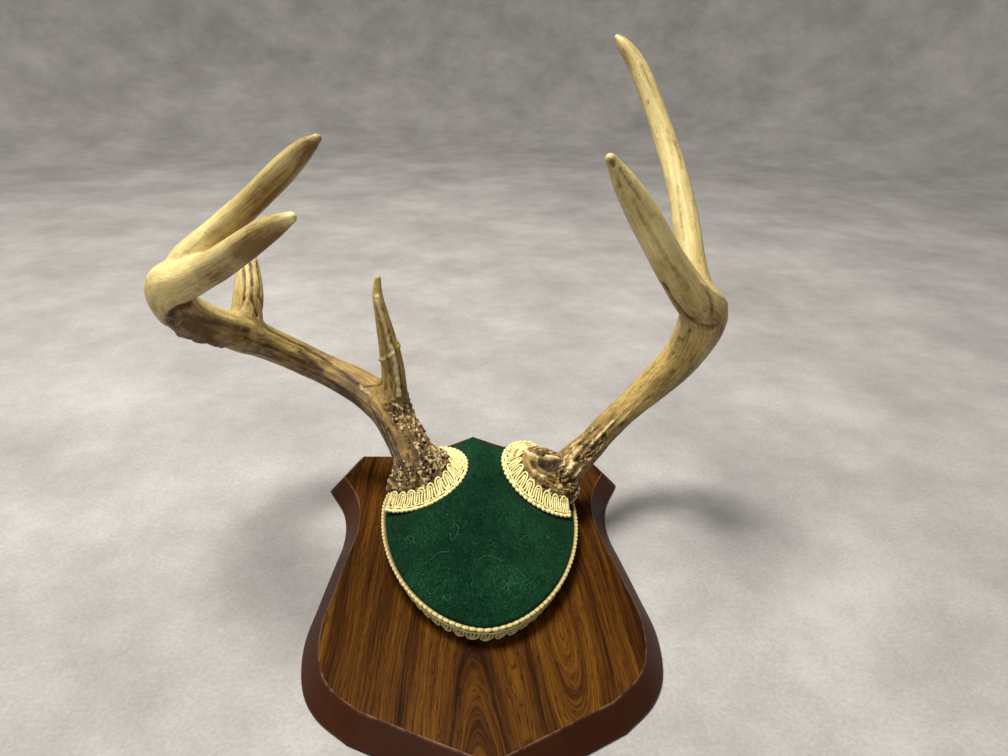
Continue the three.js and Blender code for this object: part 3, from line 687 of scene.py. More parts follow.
# ---- materials -------------------------------------------------------------------------
def antler_material():
    """Golden horn, browner at the burr and paler towards the tips; dark in the grooves
    and pits, pale on what stands proud, with streaks along the grain and dirt in
    patches. Painted shade also browns the downward faces and the creases, and the dark
    hollow colour paints shadow into the burr's crater."""
    material, tree, shader = new_material("antler")
    grain = attribute(tree, "grain", "Vector")
    relief = attribute(tree, "relief")
    run = attribute(tree, "run")
    stain_and_shade = attribute(tree, "stain_and_shade")
    place = object_place(tree)
    clouds = placed(tree, "mottle", {"Vector": place, "Large": 40.0, "Small": 230.0,
                                     "Contrast": 0.2})
    broad = placed(tree, "streaks", {"Vector": grain, "Across": 0.28, "Along": 0.03})
    streaks = placed(tree, "streaks", {"Vector": grain, "Across": 0.85, "Along": 0.06})
    hairline = placed(tree, "streaks", {"Vector": grain, "Across": 2.4, "Along": 0.14})
    clean = ramp(tree, run, [(0.0, colour("b08a48")), (0.2, colour("b8974e")),
                             (0.5, colour("d8bc72")), (0.8, colour("e6d492")),
                             (1.0, colour("dccb8a"))])
    dirt_and_shade_tint = ramp(tree, run, [(0.0, colour("38210a")), (0.25, colour("473110")),
                             (0.5, colour("634817")), (0.8, colour("745317")),
                             (1.0, colour("6e4f16"))])
    amount = math_node(tree, "MULTIPLY", remap(tree, clouds, 0.15, 1.0), 0.34)
    amount = math_node(tree, "ADD", amount,
                       math_node(tree, "MULTIPLY", remap(tree, broad, 0.2, 0.95), 0.3))
    amount = math_node(tree, "ADD", amount,
                       math_node(tree, "MULTIPLY", remap(tree, streaks, 0.3, 0.9), 0.3))
    amount = math_node(tree, "MULTIPLY", amount, remap(tree, run, 0.35, 0.8, 1.0, 0.55))
    # Brown patches from the attribute: real stains, and painted shade on downward faces
    # and in creases.
    signed = math_node(tree, "MULTIPLY", math_node(tree, "SUBTRACT", stain_and_shade, 0.5), 2.0)
    amount = math_node(tree, "ADD", amount, signed, clamp=True)
    base = mix(tree, amount, clean, dirt_and_shade_tint)
    # Low relief goes dark: dirt in grooves and pits, and painted shadow in the burr's
    # crater and gaps.
    hollow = remap(tree, relief, 0.46, 0.08)
    depth = mix(tree, remap(tree, run, 0.08, 0.3), colour("1e1004"), colour("452a0c"))
    base = mix(tree, math_node(tree, "MULTIPLY", hollow, 0.95), base, depth)
    proud = remap(tree, relief, 0.56, 0.95, 0.0, 0.8)
    base = mix(tree, proud, base, colour("eddcae"))
    line = math_node(tree, "MULTIPLY", remap(tree, hairline, 0.6, 0.9),
                     remap(tree, run, 0.8, 0.1, 0.12, 0.65))
    base = mix(tree, line, base, colour("4a300f"))
    pits = placed(tree, "dust", {"Vector": place, "Per metre": 300.0, "Size": 0.16,
                                 "Share": 0.2})
    base = mix(tree, math_node(tree, "MULTIPLY", pits, 0.5), base, colour("3a2208"))
    height = math_node(tree, "ADD", math_node(tree, "MULTIPLY", streaks, 0.6),
                       math_node(tree, "MULTIPLY", hairline, -0.6))
    height = math_node(tree, "SUBTRACT", height, math_node(tree, "MULTIPLY", pits, 0.6))
    normal = bump_of(tree, height, remap(tree, run, 0.95, 0.1, 0.25, 0.85), 0.0006)
    put(tree, shader, Base_Color=base, Normal=normal,
        Roughness=remap(tree, clouds, 0.0, 1.0, 0.36, 0.55), IOR=1.5)
    shader.inputs["Specular IOR Level"].default_value = 0.4
    return material


def felt_material():
    """Bottle-green felt: matted fibres from two crossed noises, a soft nap, dust."""
    material, tree, shader = new_material("green felt")
    place = object_place(tree)
    wave = noise_node(tree, place, 26.0, 2.0)
    turned = add(tree, "ShaderNodeVectorMath", {0: place, 1: (0.9, 0.25, 0.4)},
                 operation="MULTIPLY").outputs[0]
    fibres = noise_node(tree, turned, 900.0, 6.0, 0.75, 1.4)
    curls = add(tree, "ShaderNodeTexNoise",
                {"Vector": place, "Scale": 260.0, "Detail": 2.0, "Distortion": 3.5}
                ).outputs["Fac"]
    matt = math_node(tree, "ADD", math_node(tree, "MULTIPLY", fibres, 0.6),
                     math_node(tree, "MULTIPLY", curls, 0.4))
    shade = math_node(tree, "ADD", math_node(tree, "MULTIPLY", matt, 0.75),
                      math_node(tree, "MULTIPLY", wave, 0.25))
    tint = ramp(tree, shade, [(0.38, colour("02150a")), (0.48, colour("082716")),
                              (0.56, colour("113a23")), (0.7, colour("33603f"))])
    dust = placed(tree, "dust", {"Vector": place, "Per metre": 150.0, "Size": 0.05,
                                 "Share": 0.08})
    tint = mix(tree, math_node(tree, "MULTIPLY", dust, 0.5), tint, colour("8fa792"))
    put(tree, shader, Base_Color=tint, Roughness=0.95,
        Normal=bump_of(tree, matt, 1.0, 0.0011), Sheen_Weight=0.06,
        Sheen_Roughness=0.45, Sheen_Tint=colour("8fb79a"))
    shader.inputs["Specular IOR Level"].default_value = 0.05
    return material


def gimp_material():
    """Cream cord: strands twisted round it, painted darker in the gaps as shade."""
    material, tree, shader = new_material("cream gimp")
    uv = add(tree, "ShaderNodeUVMap", uv_map="cord").outputs["UV"]
    twist = add(tree, "ShaderNodeTexWave",
                {"Vector": uv, "Scale": 1.0, "Distortion": 0.4, "Detail": 1.0},
                bands_direction="DIAGONAL", wave_profile="SIN").outputs["Fac"]
    place = object_place(tree)
    clouds = placed(tree, "mottle", {"Vector": place, "Large": 90.0, "Small": 700.0,
                                     "Contrast": 0.25})
    depth = attribute(tree, "depth")
    tint = mix(tree, clouds, colour("fdf3b4"), colour("eadb92"))
    tint = mix(tree, math_node(tree, "MULTIPLY", twist, 0.3), tint, colour("bda750"))
    # Painted shade: depth darkens the cords' undersides, the warp and the tape between
    # them.
    tint = mix(tree, math_node(tree, "MULTIPLY", depth, 0.9), tint, colour("6e5620"))
    put(tree, shader, Base_Color=tint, Roughness=0.62,
        Normal=bump_of(tree, twist, 0.6, 0.0003), Sheen_Weight=0.3,
        Sheen_Roughness=0.4, Sheen_Tint=colour("fff6d0"))
    return material


# The walnut figure's hearts in metres: (x, y, how much Y is shortened).
WALNUT_HEARTS = ((-0.006, -0.30, 0.085), (0.043, -0.064, 0.17))
HEART_BLEND = 0.018


def walnut_material():
    """Printed walnut. The figure's level lines are ovals drawn out along Y round two
    hearts, so they run straight at the sides and arch over each heart; streaks, rings
    and pores are noises of that level and a little of Y."""
    material, tree, shader = new_material("walnut print")
    place = object_place(tree)
    split = add(tree, "ShaderNodeSeparateXYZ", {0: place})
    x, y = split.outputs[0], split.outputs[1]
    bend = noise_node(tree, stretched(tree, place, (16.0, 9.0, 4.0)), 1.0, 3.0)
    sway = math_node(tree, "MULTIPLY", math_node(tree, "SUBTRACT", bend, 0.5), 0.009)

    def level(centre_x, centre_y, drawn):
        """Distance from a heart with Y shortened by drawn: the ovals' level."""
        across = math_node(tree, "ADD", math_node(tree, "SUBTRACT", x, centre_x), sway)
        along = math_node(tree, "MULTIPLY", math_node(tree, "SUBTRACT", y, centre_y),
                          drawn)
        total = math_node(tree, "ADD", math_node(tree, "MULTIPLY", across, across),
                          math_node(tree, "MULTIPLY", along, along))
        return math_node(tree, "SQRT", total)

    first, second = (level(*heart) for heart in WALNUT_HEARTS)
    field = add(tree, "ShaderNodeMath", {0: first, 1: second, 2: HEART_BLEND},
                operation="SMOOTH_MIN").outputs[0]

    def drawn_noise(per_metre, along, detail, roughness):
        """Noise that changes fast from one level to the next and slowly along it."""
        lines = add(tree, "ShaderNodeCombineXYZ",
                    {0: math_node(tree, "MULTIPLY", field, per_metre),
                     1: math_node(tree, "MULTIPLY", y, along),
                     2: math_node(tree, "MULTIPLY", x, along)}).outputs[0]
        return noise_node(tree, lines, 1.0, detail, roughness)

    streak = drawn_noise(120.0, 2.5, 4.0, 0.65)
    ring = drawn_noise(640.0, 5.0, 3.0, 0.65)
    fine = drawn_noise(1700.0, 20.0, 3.0, 0.7)
    pores = remap(tree, drawn_noise(2300.0, 130.0, 2.0, 0.6), 0.54, 0.66)
    tone = math_node(tree, "ADD", math_node(tree, "MULTIPLY", streak, 0.42),
                     math_node(tree, "ADD", math_node(tree, "MULTIPLY", ring, 0.17),
                               math_node(tree, "MULTIPLY", fine, 0.38)))
    tint = ramp(tree, tone, [(0.4, colour("1f0f03")), (0.47, colour("3b1f05")),
                             (0.54, colour("503008")), (0.66, colour("6c480f"))])
    tint = mix(tree, math_node(tree, "MULTIPLY", pores, 0.65), tint, colour("150801"))
    dust = placed(tree, "dust", {"Vector": place, "Per metre": 110.0, "Size": 0.035,
                                 "Share": 0.06})
    tint = mix(tree, dust, tint, colour("b9ae9c"))
    put(tree, shader, Base_Color=tint,
        Roughness=remap(tree, streak, 0.3, 0.7, 0.42, 0.52),
        Normal=bump_of(tree, pores, 0.12, 0.0003))
    shader.inputs["Specular IOR Level"].default_value = 0.04
    return material


def edge_material():
    """Plain chocolate paint on the bevel, with soft cloudiness and small rubbed spots;
    the worn attribute is the rubbed line along the face's edge."""
    material, tree, shader = new_material("painted edge")
    place = object_place(tree)
    clouds = placed(tree, "mottle", {"Vector": place, "Large": 16.0, "Small": 160.0,
                                     "Contrast": 0.3})
    tint = mix(tree, clouds, colour("2b1305"), colour("3a1b09"))
    rubs = noise_node(tree, place, 120.0, 5.0, 0.7)
    worn = math_node(tree, "MULTIPLY", attribute(tree, "worn"),
                     remap(tree, rubs, 0.36, 0.62, 0.1, 0.8))
    tint = mix(tree, worn, tint, colour("8d6a50"))
    dust = placed(tree, "dust", {"Vector": place, "Per metre": 130.0, "Size": 0.04,
                                 "Share": 0.07})
    tint = mix(tree, dust, tint, colour("b9aa98"))
    put(tree, shader, Base_Color=tint, Roughness=remap(tree, clouds, 0, 1, 0.4, 0.52),
        Normal=bump_of(tree, clouds, 0.15, 0.0006))
    shader.inputs["Specular IOR Level"].default_value = 0.14
    return material


def back_material():
    """The board's raw back: pressed fibreboard, even and matt with dark flecks."""
    material, tree, shader = new_material("fibreboard back")
    place = object_place(tree)
    clouds = placed(tree, "mottle", {"Vector": place, "Large": 60.0, "Small": 900.0,
                                     "Contrast": 0.2})
    tint = mix(tree, clouds, colour("8a6a48"), colour("a5835c"))
    flecks = placed(tree, "dust", {"Vector": place, "Per metre": 900.0, "Size": 0.2,
                                   "Share": 0.2})
    tint = mix(tree, math_node(tree, "MULTIPLY", flecks, 0.4), tint, colour("5b4128"))
    put(tree, shader, Base_Color=tint, Roughness=0.85,
        Normal=bump_of(tree, clouds, 0.4, 0.0004))
    return material


def steel_material():
    """Zinc-plated steel: crystalline patches and fine rubbing."""
    material, tree, shader = new_material("zinc plate")
    place = object_place(tree)
    patches = add(tree, "ShaderNodeTexVoronoi", {"Vector": place, "Scale": 700.0})
    tone = add(tree, "ShaderNodeSeparateColor", {"Color": patches.outputs["Color"]})
    rubs = noise_node(tree, stretched(tree, place, (2000.0, 120.0, 600.0)), 1.0, 4.0)
    tint = mix(tree, tone.outputs[0], colour("9b9b96"), colour("b9b8b0"))
    put(tree, shader, Base_Color=tint, Metallic=1.0,
        Roughness=remap(tree, rubs, 0.3, 0.7, 0.25, 0.5),
        Normal=bump_of(tree, rubs, 0.15, 0.0002))
    return material


def lint_material():
    """Stray fibres: dull green to grey, changing from hair to hair."""
    material, tree, shader = new_material("lint")
    tone = noise_node(tree, object_place(tree), 120.0, 2.0)
    tint = mix(tree, tone, colour("304c3b"), colour("748a76"))
    put(tree, shader, Base_Color=tint, Roughness=0.7)
    return material


def floor_material():
    """Pale grey suede cloth: soft patches, fine grain."""
    material, tree, shader = new_material("studio floor")
    place = object_place(tree)
    patches = noise_node(tree, place, 7.0, 7.0, 0.7)
    grain = noise_node(tree, place, 420.0, 3.0, 0.7)
    tone = math_node(tree, "ADD", math_node(tree, "MULTIPLY", patches, 0.7),
                     math_node(tree, "MULTIPLY", grain, 0.3))
    put(tree, shader, Roughness=0.95, Base_Color=ramp(
        tree, tone, [(0.36, colour("888583")), (0.5, colour("9a9795")),
                     (0.64, colour("acaaa6"))]))
    return material


LOOKS = {
    "antler": antler_material(), "felt": felt_material(), "gimp": gimp_material(),
    "walnut": walnut_material(), "edge": edge_material(), "back": back_material(),
    "steel": steel_material(), "lint": lint_material(), "floor": floor_material(),
}


# ---- board -----------------------------------------------------------------------------
def bezier(a, b, c, d, steps):
    """The cubic Bezier curve from a to d pulled by b and c, without its last point."""
    t = np.linspace(0, 1, steps, endpoint=False)[:, None]
    a, b, c, d = (np.array(p, float) for p in (a, b, c, d))
    return (1 - t)**3 * a + 3 * (1 - t)**2 * t * b + 3 * (1 - t) * t * t * c + t**3 * d


def round_curve(stations, steps):
    """Points of the centripetal Catmull-Rom curve through stations: on each span a
    cubic whose end slopes come from the square roots of the distances between the
    stations. Every column is carried the same way, and the last station closes it."""
    s = np.array(stations, float)
    s = np.vstack([2 * s[0] - s[1], s, 2 * s[-1] - s[-2]])
    gap = np.linalg.norm(np.diff(s[:, :3], axis=0), axis=1)[:, None] ** 0.5
    rate = np.diff(s, axis=0) / gap
    far = (s[2:] - s[:-2]) / (gap[1:] + gap[:-1])
    leaving = (rate[:-2] - far[:-1] + rate[1:-1]) * gap[1:-1]
    coming = (rate[1:-1] - far[1:] + rate[2:]) * gap[1:-1]
    t = np.linspace(0, 1, steps, endpoint=False)[None, :, None]
    p, q = s[1:-2][:, None], s[2:-1][:, None]
    m, n = leaving[:, None], coming[:, None]
    line = ((2 * t**3 - 3 * t**2 + 1) * p + (t**3 - 2 * t**2 + t) * m
            + (3 * t**2 - 2 * t**3) * q + (t**3 - t**2) * n)
    return np.vstack([line.reshape(-1, s.shape[1]), s[-2]])


def face_outline(steps=14):
    """The flat face's outline, anticlockwise from the top point: curves to the shoulder,
    straight to the corner and the horn, a round flank, and curves to the tip."""
    right = np.vstack([
        bezier(FACE_APEX, *FACE_APEX_PULLS, FACE_SHOULDER, steps),
        bezier(FACE_SHOULDER, FACE_SHOULDER, FACE_CORNER, FACE_CORNER, 4),
        bezier(FACE_CORNER, FACE_CORNER, FACE_HORN, FACE_HORN, 4),
        round_curve([FACE_HORN, *FACE_FLANK], steps)[:-1],
        bezier(FACE_FLANK[-1], *FACE_TIP_PULLS, FACE_TIP, steps),
        [FACE_TIP],
    ])
    left = right[1:-1] * (-1, 1)
    return np.vstack([right, left[::-1]])[::-1]


def offset_outline(outline, distance):
    """Each point moves outwards along its corner's mitre by distance."""
    before = unit(outline - np.roll(outline, 1, axis=0))
    after = unit(np.roll(outline, -1, axis=0) - outline)
    out = unit(np.stack([before[:, 1], -before[:, 0]], axis=1)
               + np.stack([after[:, 1], -after[:, 0]], axis=1))
    cosine = (out * np.stack([after[:, 1], -after[:, 0]], axis=1)).sum(1, keepdims=True)
    return outline + out * distance / np.maximum(cosine, 0.4)


def box_cutter(name, size, place):
    """A closed box to cut with: size and centre in millimetres."""
    signs = np.array(list(np.ndindex(2, 2, 2)), float) - 0.5
    faces = [[0, 1, 3, 2], [4, 6, 7, 5], [0, 4, 5, 1], [2, 3, 7, 6], [0, 2, 6, 4],
             [1, 5, 7, 3]]
    return new_piece(name, signs * size + place, [faces], LOOKS["back"],
                     smooth_faces=False, link=False)


def round_cutter(name, radius, height, place, sides=32):
    """A closed round bar to cut with: its place is the middle of its lower end."""
    angle = np.arange(sides) / sides * TAU
    ring = np.stack([np.cos(angle) * radius, np.sin(angle) * radius, 0 * angle], axis=1)
    points = np.vstack([ring + place, ring + place + (0, 0, height)])
    caps = np.stack([np.arange(sides)[::-1], np.arange(sides) + sides])
    return new_piece(name, points, [grid_faces(2, sides), caps],
                     LOOKS["back"], smooth_faces=False, link=False)


def make_board():
    """A profile of (distance out from the face's outline, height) carried round the
    outline: flat back, side, lip, bevel, and a small round at the face's edge."""
    outline = face_outline()
    lip = BEVEL_WIDTH
    profile = [
        (lip - 1.2, 0.0, 0), (lip - 0.45, 0.0, 0), (lip - 0.1, 0.1, 0), (lip, 0.45, 0),
        (lip, BOARD_LIP - 0.4, 0), (lip - 0.1, BOARD_LIP - 0.1, 0.1),
        (lip - 0.5, BOARD_LIP + 0.35, 0), (lip * 0.66, 5.6, 0), (lip * 0.33, 9.4, 0),
        (1.1, BOARD_THICKNESS - 1.3, 0), (0.45, BOARD_THICKNESS - 0.5, 0.25),
        (0.18, BOARD_THICKNESS - 0.2, 1.0), (-0.05, BOARD_THICKNESS - 0.03, 0.7),
        (-0.5, BOARD_THICKNESS, 0),
    ]
    rings = [np.column_stack([offset_outline(outline, out), np.full(len(outline), z)])
             for out, z, _ in profile]
    count = len(outline)
    points = np.vstack(rings)
    sides = grid_faces(len(profile), count)
    last = (len(profile) - 1) * count
    caps = np.stack([np.arange(count)[::-1], np.arange(count) + last])
    board = new_piece("shield_board", points, [sides, caps],
                      [LOOKS["walnut"], LOOKS["edge"], LOOKS["back"]],
                      smooth_faces=False)
    give(board, "worn", np.repeat([w for *_, w in profile], count))
    rows = np.arange(len(sides)) // count
    kind = np.where(rows < 1, 2, np.where(rows >= len(profile) - 2, 0, 1))
    kind = np.concatenate([kind, [2, 0]]).astype(np.int32)
    board.data.polygons.foreach_set("material_index", kind)
    soft = np.concatenate([rows < len(profile) - 1, [False, False]])
    board.data.polygons.foreach_set("use_smooth", soft)
    cutters = [
        box_cutter("cut_step", (*HANGER_STEP[:2], 2 * HANGER_STEP[2]), (0, HANGER_Y, 0)),
        box_cutter("cut_pocket", (*HANGER_POCKET[:2], 2 * HANGER_POCKET[2]),
                   (0, HANGER_Y, 0)),
    ] + [round_cutter(f"cut_screw_{i}", SCREW_HOLE, 20, (x, y, -1))
         for i, (x, y) in enumerate(SCREW_PLACES)]
    for cutter in cutters:
        cut = board.modifiers.new("cut", "BOOLEAN")
        cut.operation, cut.object, cut.solver = "DIFFERENCE", cutter, "EXACT"
    bpy.context.view_layer.update()
    apply_modifiers(board)
    for cutter in cutters:
        bpy.data.objects.remove(cutter)
    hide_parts("board")


# ---- felt cap --------------------------------------------------------------------------
def rim_point(angle, grow):
    """The rim in plan, an egg pointed at both ends: x is the half width times cos^p and
    y the length times sin."""
    top = np.sin(angle) > 0
    long = np.where(top, CAP_TOP, CAP_BOTTOM) + grow
    power = np.where(top, CAP_POINTED_TOP, CAP_POINTED_BOTTOM)
    across = np.sign(np.cos(angle)) * np.abs(np.cos(angle)) ** power
    return (CAP_MIDDLE[0] + across * (CAP_HALF_WIDTH + grow),
            CAP_MIDDLE[1] + np.sin(angle) * long)


def raised(x, y, z):
    """The height z, brought to each collar's base plane inside its ring."""
    for c in COLLARS.values():
        base, lean = c["base"], c["lean"]
        away = np.hypot(x - base[0], y - base[1])
        plane = base[2] - lean[0] * (x - base[0]) - lean[1] * (y - base[1])
        share = 1 - smooth(away, c["radius"] - 3, c["radius"] + 8)
        z = z + (plane - z) * share
    return z


def dome_point(share, angle):
    """Point of the felt's dome at a share of the way from the ridge (0) to the rim (1):
    the height falls from the ridge's as 1 - share^fullness."""
    rim_x, rim_y = rim_point(angle, CAP_FLARE)
    x = CAP_RIDGE[0] + (rim_x - CAP_RIDGE[0]) * share
    middle_y = CAP_RIDGE[1] + CAP_RIDGE[2] * np.sin(angle)
    y = middle_y + (rim_y - middle_y) * share
    front = np.maximum(0, -np.sin(angle))
    fullness = CAP_SIDE_FULLNESS + (CAP_FRONT_FULLNESS - CAP_SIDE_FULLNESS) * front
    dome = WALL_TOP + CAP_RISE * (1 - share**fullness)
    inside = 1 - smooth(share, 0.75, 1)
    z = dome + (raised(x, y, dome) - dome) * inside
    return np.stack([x, y, z], axis=-1)


def make_felt():
    """The felt sheet: the dome's grid of (share, angle), then the wall down to the
    board, lumped by low noise, and FELT_THICKNESS thick inwards."""
    around, steps = 260, 84
    angle = np.arange(around) / around * TAU
    dome = dome_point(*np.meshgrid(np.linspace(0, 1, steps), angle, indexing="ij"))
    wall = []
    for t in np.linspace(0, 1, 10)[1:]:
        x, y = rim_point(angle, CAP_FLARE * (1 - t))
        wall.append(np.stack([x, y, np.full(around, WALL_TOP - t * (CAP_WALL - 0.35))],
                             axis=1))
    grid = np.concatenate([dome, np.array(wall)])
    points = grid.reshape(-1, 3)
    lump = layered(points / 17.0, 31) * 0.5 + layered(points / 4.5, 35) * 0.12
    amount = np.repeat(np.concatenate([smooth(np.linspace(0, 1, steps), 1.0, 0.9),
                                       np.zeros(len(wall))]), around)
    points[:, 2] += lump * amount
    felt = new_piece("felt_cover", points, [grid_faces(len(grid), around)],
                     LOOKS["felt"])
    shape = bmesh.new()
    shape.from_mesh(felt.data)
    bmesh.ops.remove_doubles(shape, verts=shape.verts, dist=0.02 * MM)
    bmesh.ops.recalc_face_normals(shape, faces=shape.faces)
    shape.to_mesh(felt.data)
    shape.free()
    cloth = felt.modifiers.new("thickness", "SOLIDIFY")
    cloth.thickness, cloth.offset, cloth.use_rim = FELT_THICKNESS * MM, -1.0, True
    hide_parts("skull_cap")


def make_lint():
    """Hairs and specks on the felt: thin tubes along round curves, and small grains."""
    points, quads, caps, count = [], [], [], 0
    sides = 5
    lines = [(round_curve(hair, 6) + (0, 0, 0.7), HAIR_RADIUS) for hair in LINT]
    for speck in SPECKS:
        start, end = np.array(speck), np.array(speck) + (0.5, 0.25, 0.1)
        lines.append((np.linspace(start, end, 4) + (0, 0, 0.8), SPECK_RADIUS))
    for line, radius in lines:
        along = unit(np.gradient(line, axis=0))
        side = unit(np.cross(along, (0.1, 0.2, 1.0)))
        ring = line[:, None] + radius * circle_round(side, np.cross(side, along), sides)
        points.append(ring.reshape(-1, 3))
        quads.append(grid_faces(len(line), sides)[:, ::-1] + count)
        caps.append(cap_ends(len(line), sides) + count)
        count += sides * len(line)
    new_piece("felt_lint", np.vstack(points), [np.vstack(quads), np.vstack(caps)],
              LOOKS["lint"])


# ---- gimp braid ------------------------------------------------------------------------
class Band:
    """A strip between a lower and an upper line: at(u, v, h) is the point u millimetres
    along its middle, v across from the middle and h out of it. With crowd, steps in u
    are (1 + crowd) long at the start and (1 - crowd) long at the end."""

    def __init__(self, lower, upper, crowd=0.0):
        self.crowd = crowd
        self.middle = (lower + upper) / 2
        self.run = run_along(self.middle)
        self.length = self.run[-1]
        along = unit(np.gradient(self.middle, axis=0))
        self.out = unit(np.cross(along, unit(upper - lower)))
        self.side = unit(np.cross(self.out, along))

    def read(self, table, u):
        """The table's rows at u millimetres along, with the crowding taken in."""
        u = u * (1 + self.crowd * (1 - u / self.length))
        return np.stack([np.interp(u, self.run, table[:, i]) for i in range(3)], axis=1)

    def at(self, u, v, h):
        """The points u along, v across and h out, all in millimetres."""
        return (self.read(self.middle, u) + self.read(self.side, u) * v[:, None]
                + self.read(self.out, u) * np.asarray(h).reshape(-1, 1))


def cord_mesh(lines, radius, band, sides=6, depth=0.0):
    """Tubes along polylines given as (u, v, h) on a band: a ring of points round each
    point of a line, square to the line and turned to the band's surface. The UV map
    runs CORD_TURNS for each millimetre along and 0 to 1 round. The attribute depth rises
    from the crest of a cord to its underside, where it paints shade into the colour."""
    points, faces, caps, uvs, shade = [], [], [], [], []
    count = 0
    for u, v, h in lines:
        centre = band.at(u, v, h)
        out = unit(band.read(band.out, u))
        along = unit(np.gradient(centre, axis=0))
        side = unit(np.cross(along, out))
        out = unit(np.cross(side, along))
        r = np.broadcast_to(np.asarray(radius, float).reshape(-1, 1, 1), (len(u), 1, 1))
        ring = centre[:, None] + r * circle_round(side, out, sides)
        points.append(ring.reshape(-1, 3))
        faces.append(grid_faces(len(u), sides)[:, ::-1] + count)
        caps.append(cap_ends(len(u), sides) + count)
        uv = np.stack(np.broadcast_arrays(run_along(centre)[:, None] * CORD_TURNS,
                                          np.arange(sides)[None] / sides), axis=-1)
        uvs.append(uv.reshape(-1, 2))
        # Painted shade: points round a cord's underside get a high depth, which darkens
        # them.
        angle = np.arange(sides) / sides * TAU
        under = np.maximum(depth, 0.85 * smooth(np.sin(angle), 0.45, -0.4))
        shade.append(np.tile(under, len(u)))
        count += len(u) * sides
    return (np.vstack(points), np.vstack(faces), np.vstack(caps), np.vstack(uvs),
            np.concatenate(shade))


def scroll_line(start, end, pitch, half_width, offset, height, lean, loops, stand):
    """One of the two cords of the scroll: straight limbs joined by half circles, drawn
    at a distance offset to one side of the serpentine's middle line. The half circles
    on the side loops (1 or -1) stand up by stand. The limbs lean by lean[0] at the
    start to lean[1] at the end, and stand straight at both ends."""
    quarter = pitch / 4
    straight = half_width - quarter - pitch / 8
    limb = np.linspace(-1, 1, 9)[:-1] * straight
    bend = np.linspace(0, math.pi, 10)[:-1]
    over, under = quarter + offset, quarter - offset
    u = np.concatenate([
        np.full(len(limb), -quarter - offset), -np.cos(bend) * over,
        np.full(len(limb), quarter + offset), 2 * quarter - np.cos(bend) * under])
    v = np.concatenate([limb, straight + np.sin(bend) * over, -limb,
                        -straight - np.sin(bend) * under])
    repeats = int((end - start) / pitch)
    pitch = (end - start) / repeats
    shift = np.repeat(np.arange(repeats) * pitch + start + pitch / 2, len(u))
    u, v = np.tile(u, repeats), np.tile(v, repeats)
    rough = noise(np.stack([(u + shift) / 3.1, v / 4.0, 0 * u + offset], axis=1), 51)
    place = u + shift
    slant = lean[0] + (lean[1] - lean[0]) * (place - start) / (end - start)
    slant = slant * smooth(place - start, 0, 8) * smooth(end - place, 0, 8)
    u = place + slant * v + rough * 0.4
    v = v + noise(np.stack([u / 2.9, v / 5.0, 0 * u + 3], axis=1), 53) * 0.4
    lift = height + 0.22 * noise(np.stack([u / 2.0, v / 2.0, 0 * u], axis=1), 55)
    return u, v, lift + stand * smooth(v * loops, 0.2 * half_width, half_width)


def scallop_line(start, end, pitch, edge, depth, height):
    """A beaded cord along one edge of the band: v, height and thickness swell by |sin|
    once for each bead. Also gives the cord's radius at each point."""
    repeats = max(1, round((end - start) / pitch))
    u = np.linspace(start, end, repeats * 8 + 1)
    wave = np.abs(np.sin(math.pi * repeats * (u - start) / (end - start)))
    wobble = noise(np.stack([u / 2.7, 0 * u + edge, 0 * u], axis=1), 57)
    v = np.sign(edge) * (abs(edge) + depth * (wave - 0.6)) + wobble * 0.18
    return (u, v, height + 0.5 * wave), 0.35 + 0.85 * np.sqrt(wave)


def tape_mesh(start, end, band):
    """The woven tape under the cords: a flat four-sided bar along the band."""
    u = np.linspace(start, end, max(20, int((end - start) / 1.5)))
    across = np.array([-1, -1, 1, 1]) * TAPE_HALF_WIDTH
    high = np.array([0.02, 0.4, 0.4, 0.02])
    tape = np.stack([band.at(u, np.full(len(u), a), np.full(len(u), h))
                     for a, h in zip(across, high)], axis=1)
    caps = np.array([[3, 2, 1, 0], [0, 1, 2, 3]])
    caps[1] += (len(u) - 1) * 4
    uv = np.stack(np.broadcast_arrays(u[:, None], np.arange(4)[None]), axis=-1)
    # A depth of 1 paints the whole tape in the shade under the cords.
    return (tape.reshape(-1, 3), grid_faces(len(u), 4), caps, uv.reshape(-1, 2),
            np.ones(len(u) * 4))


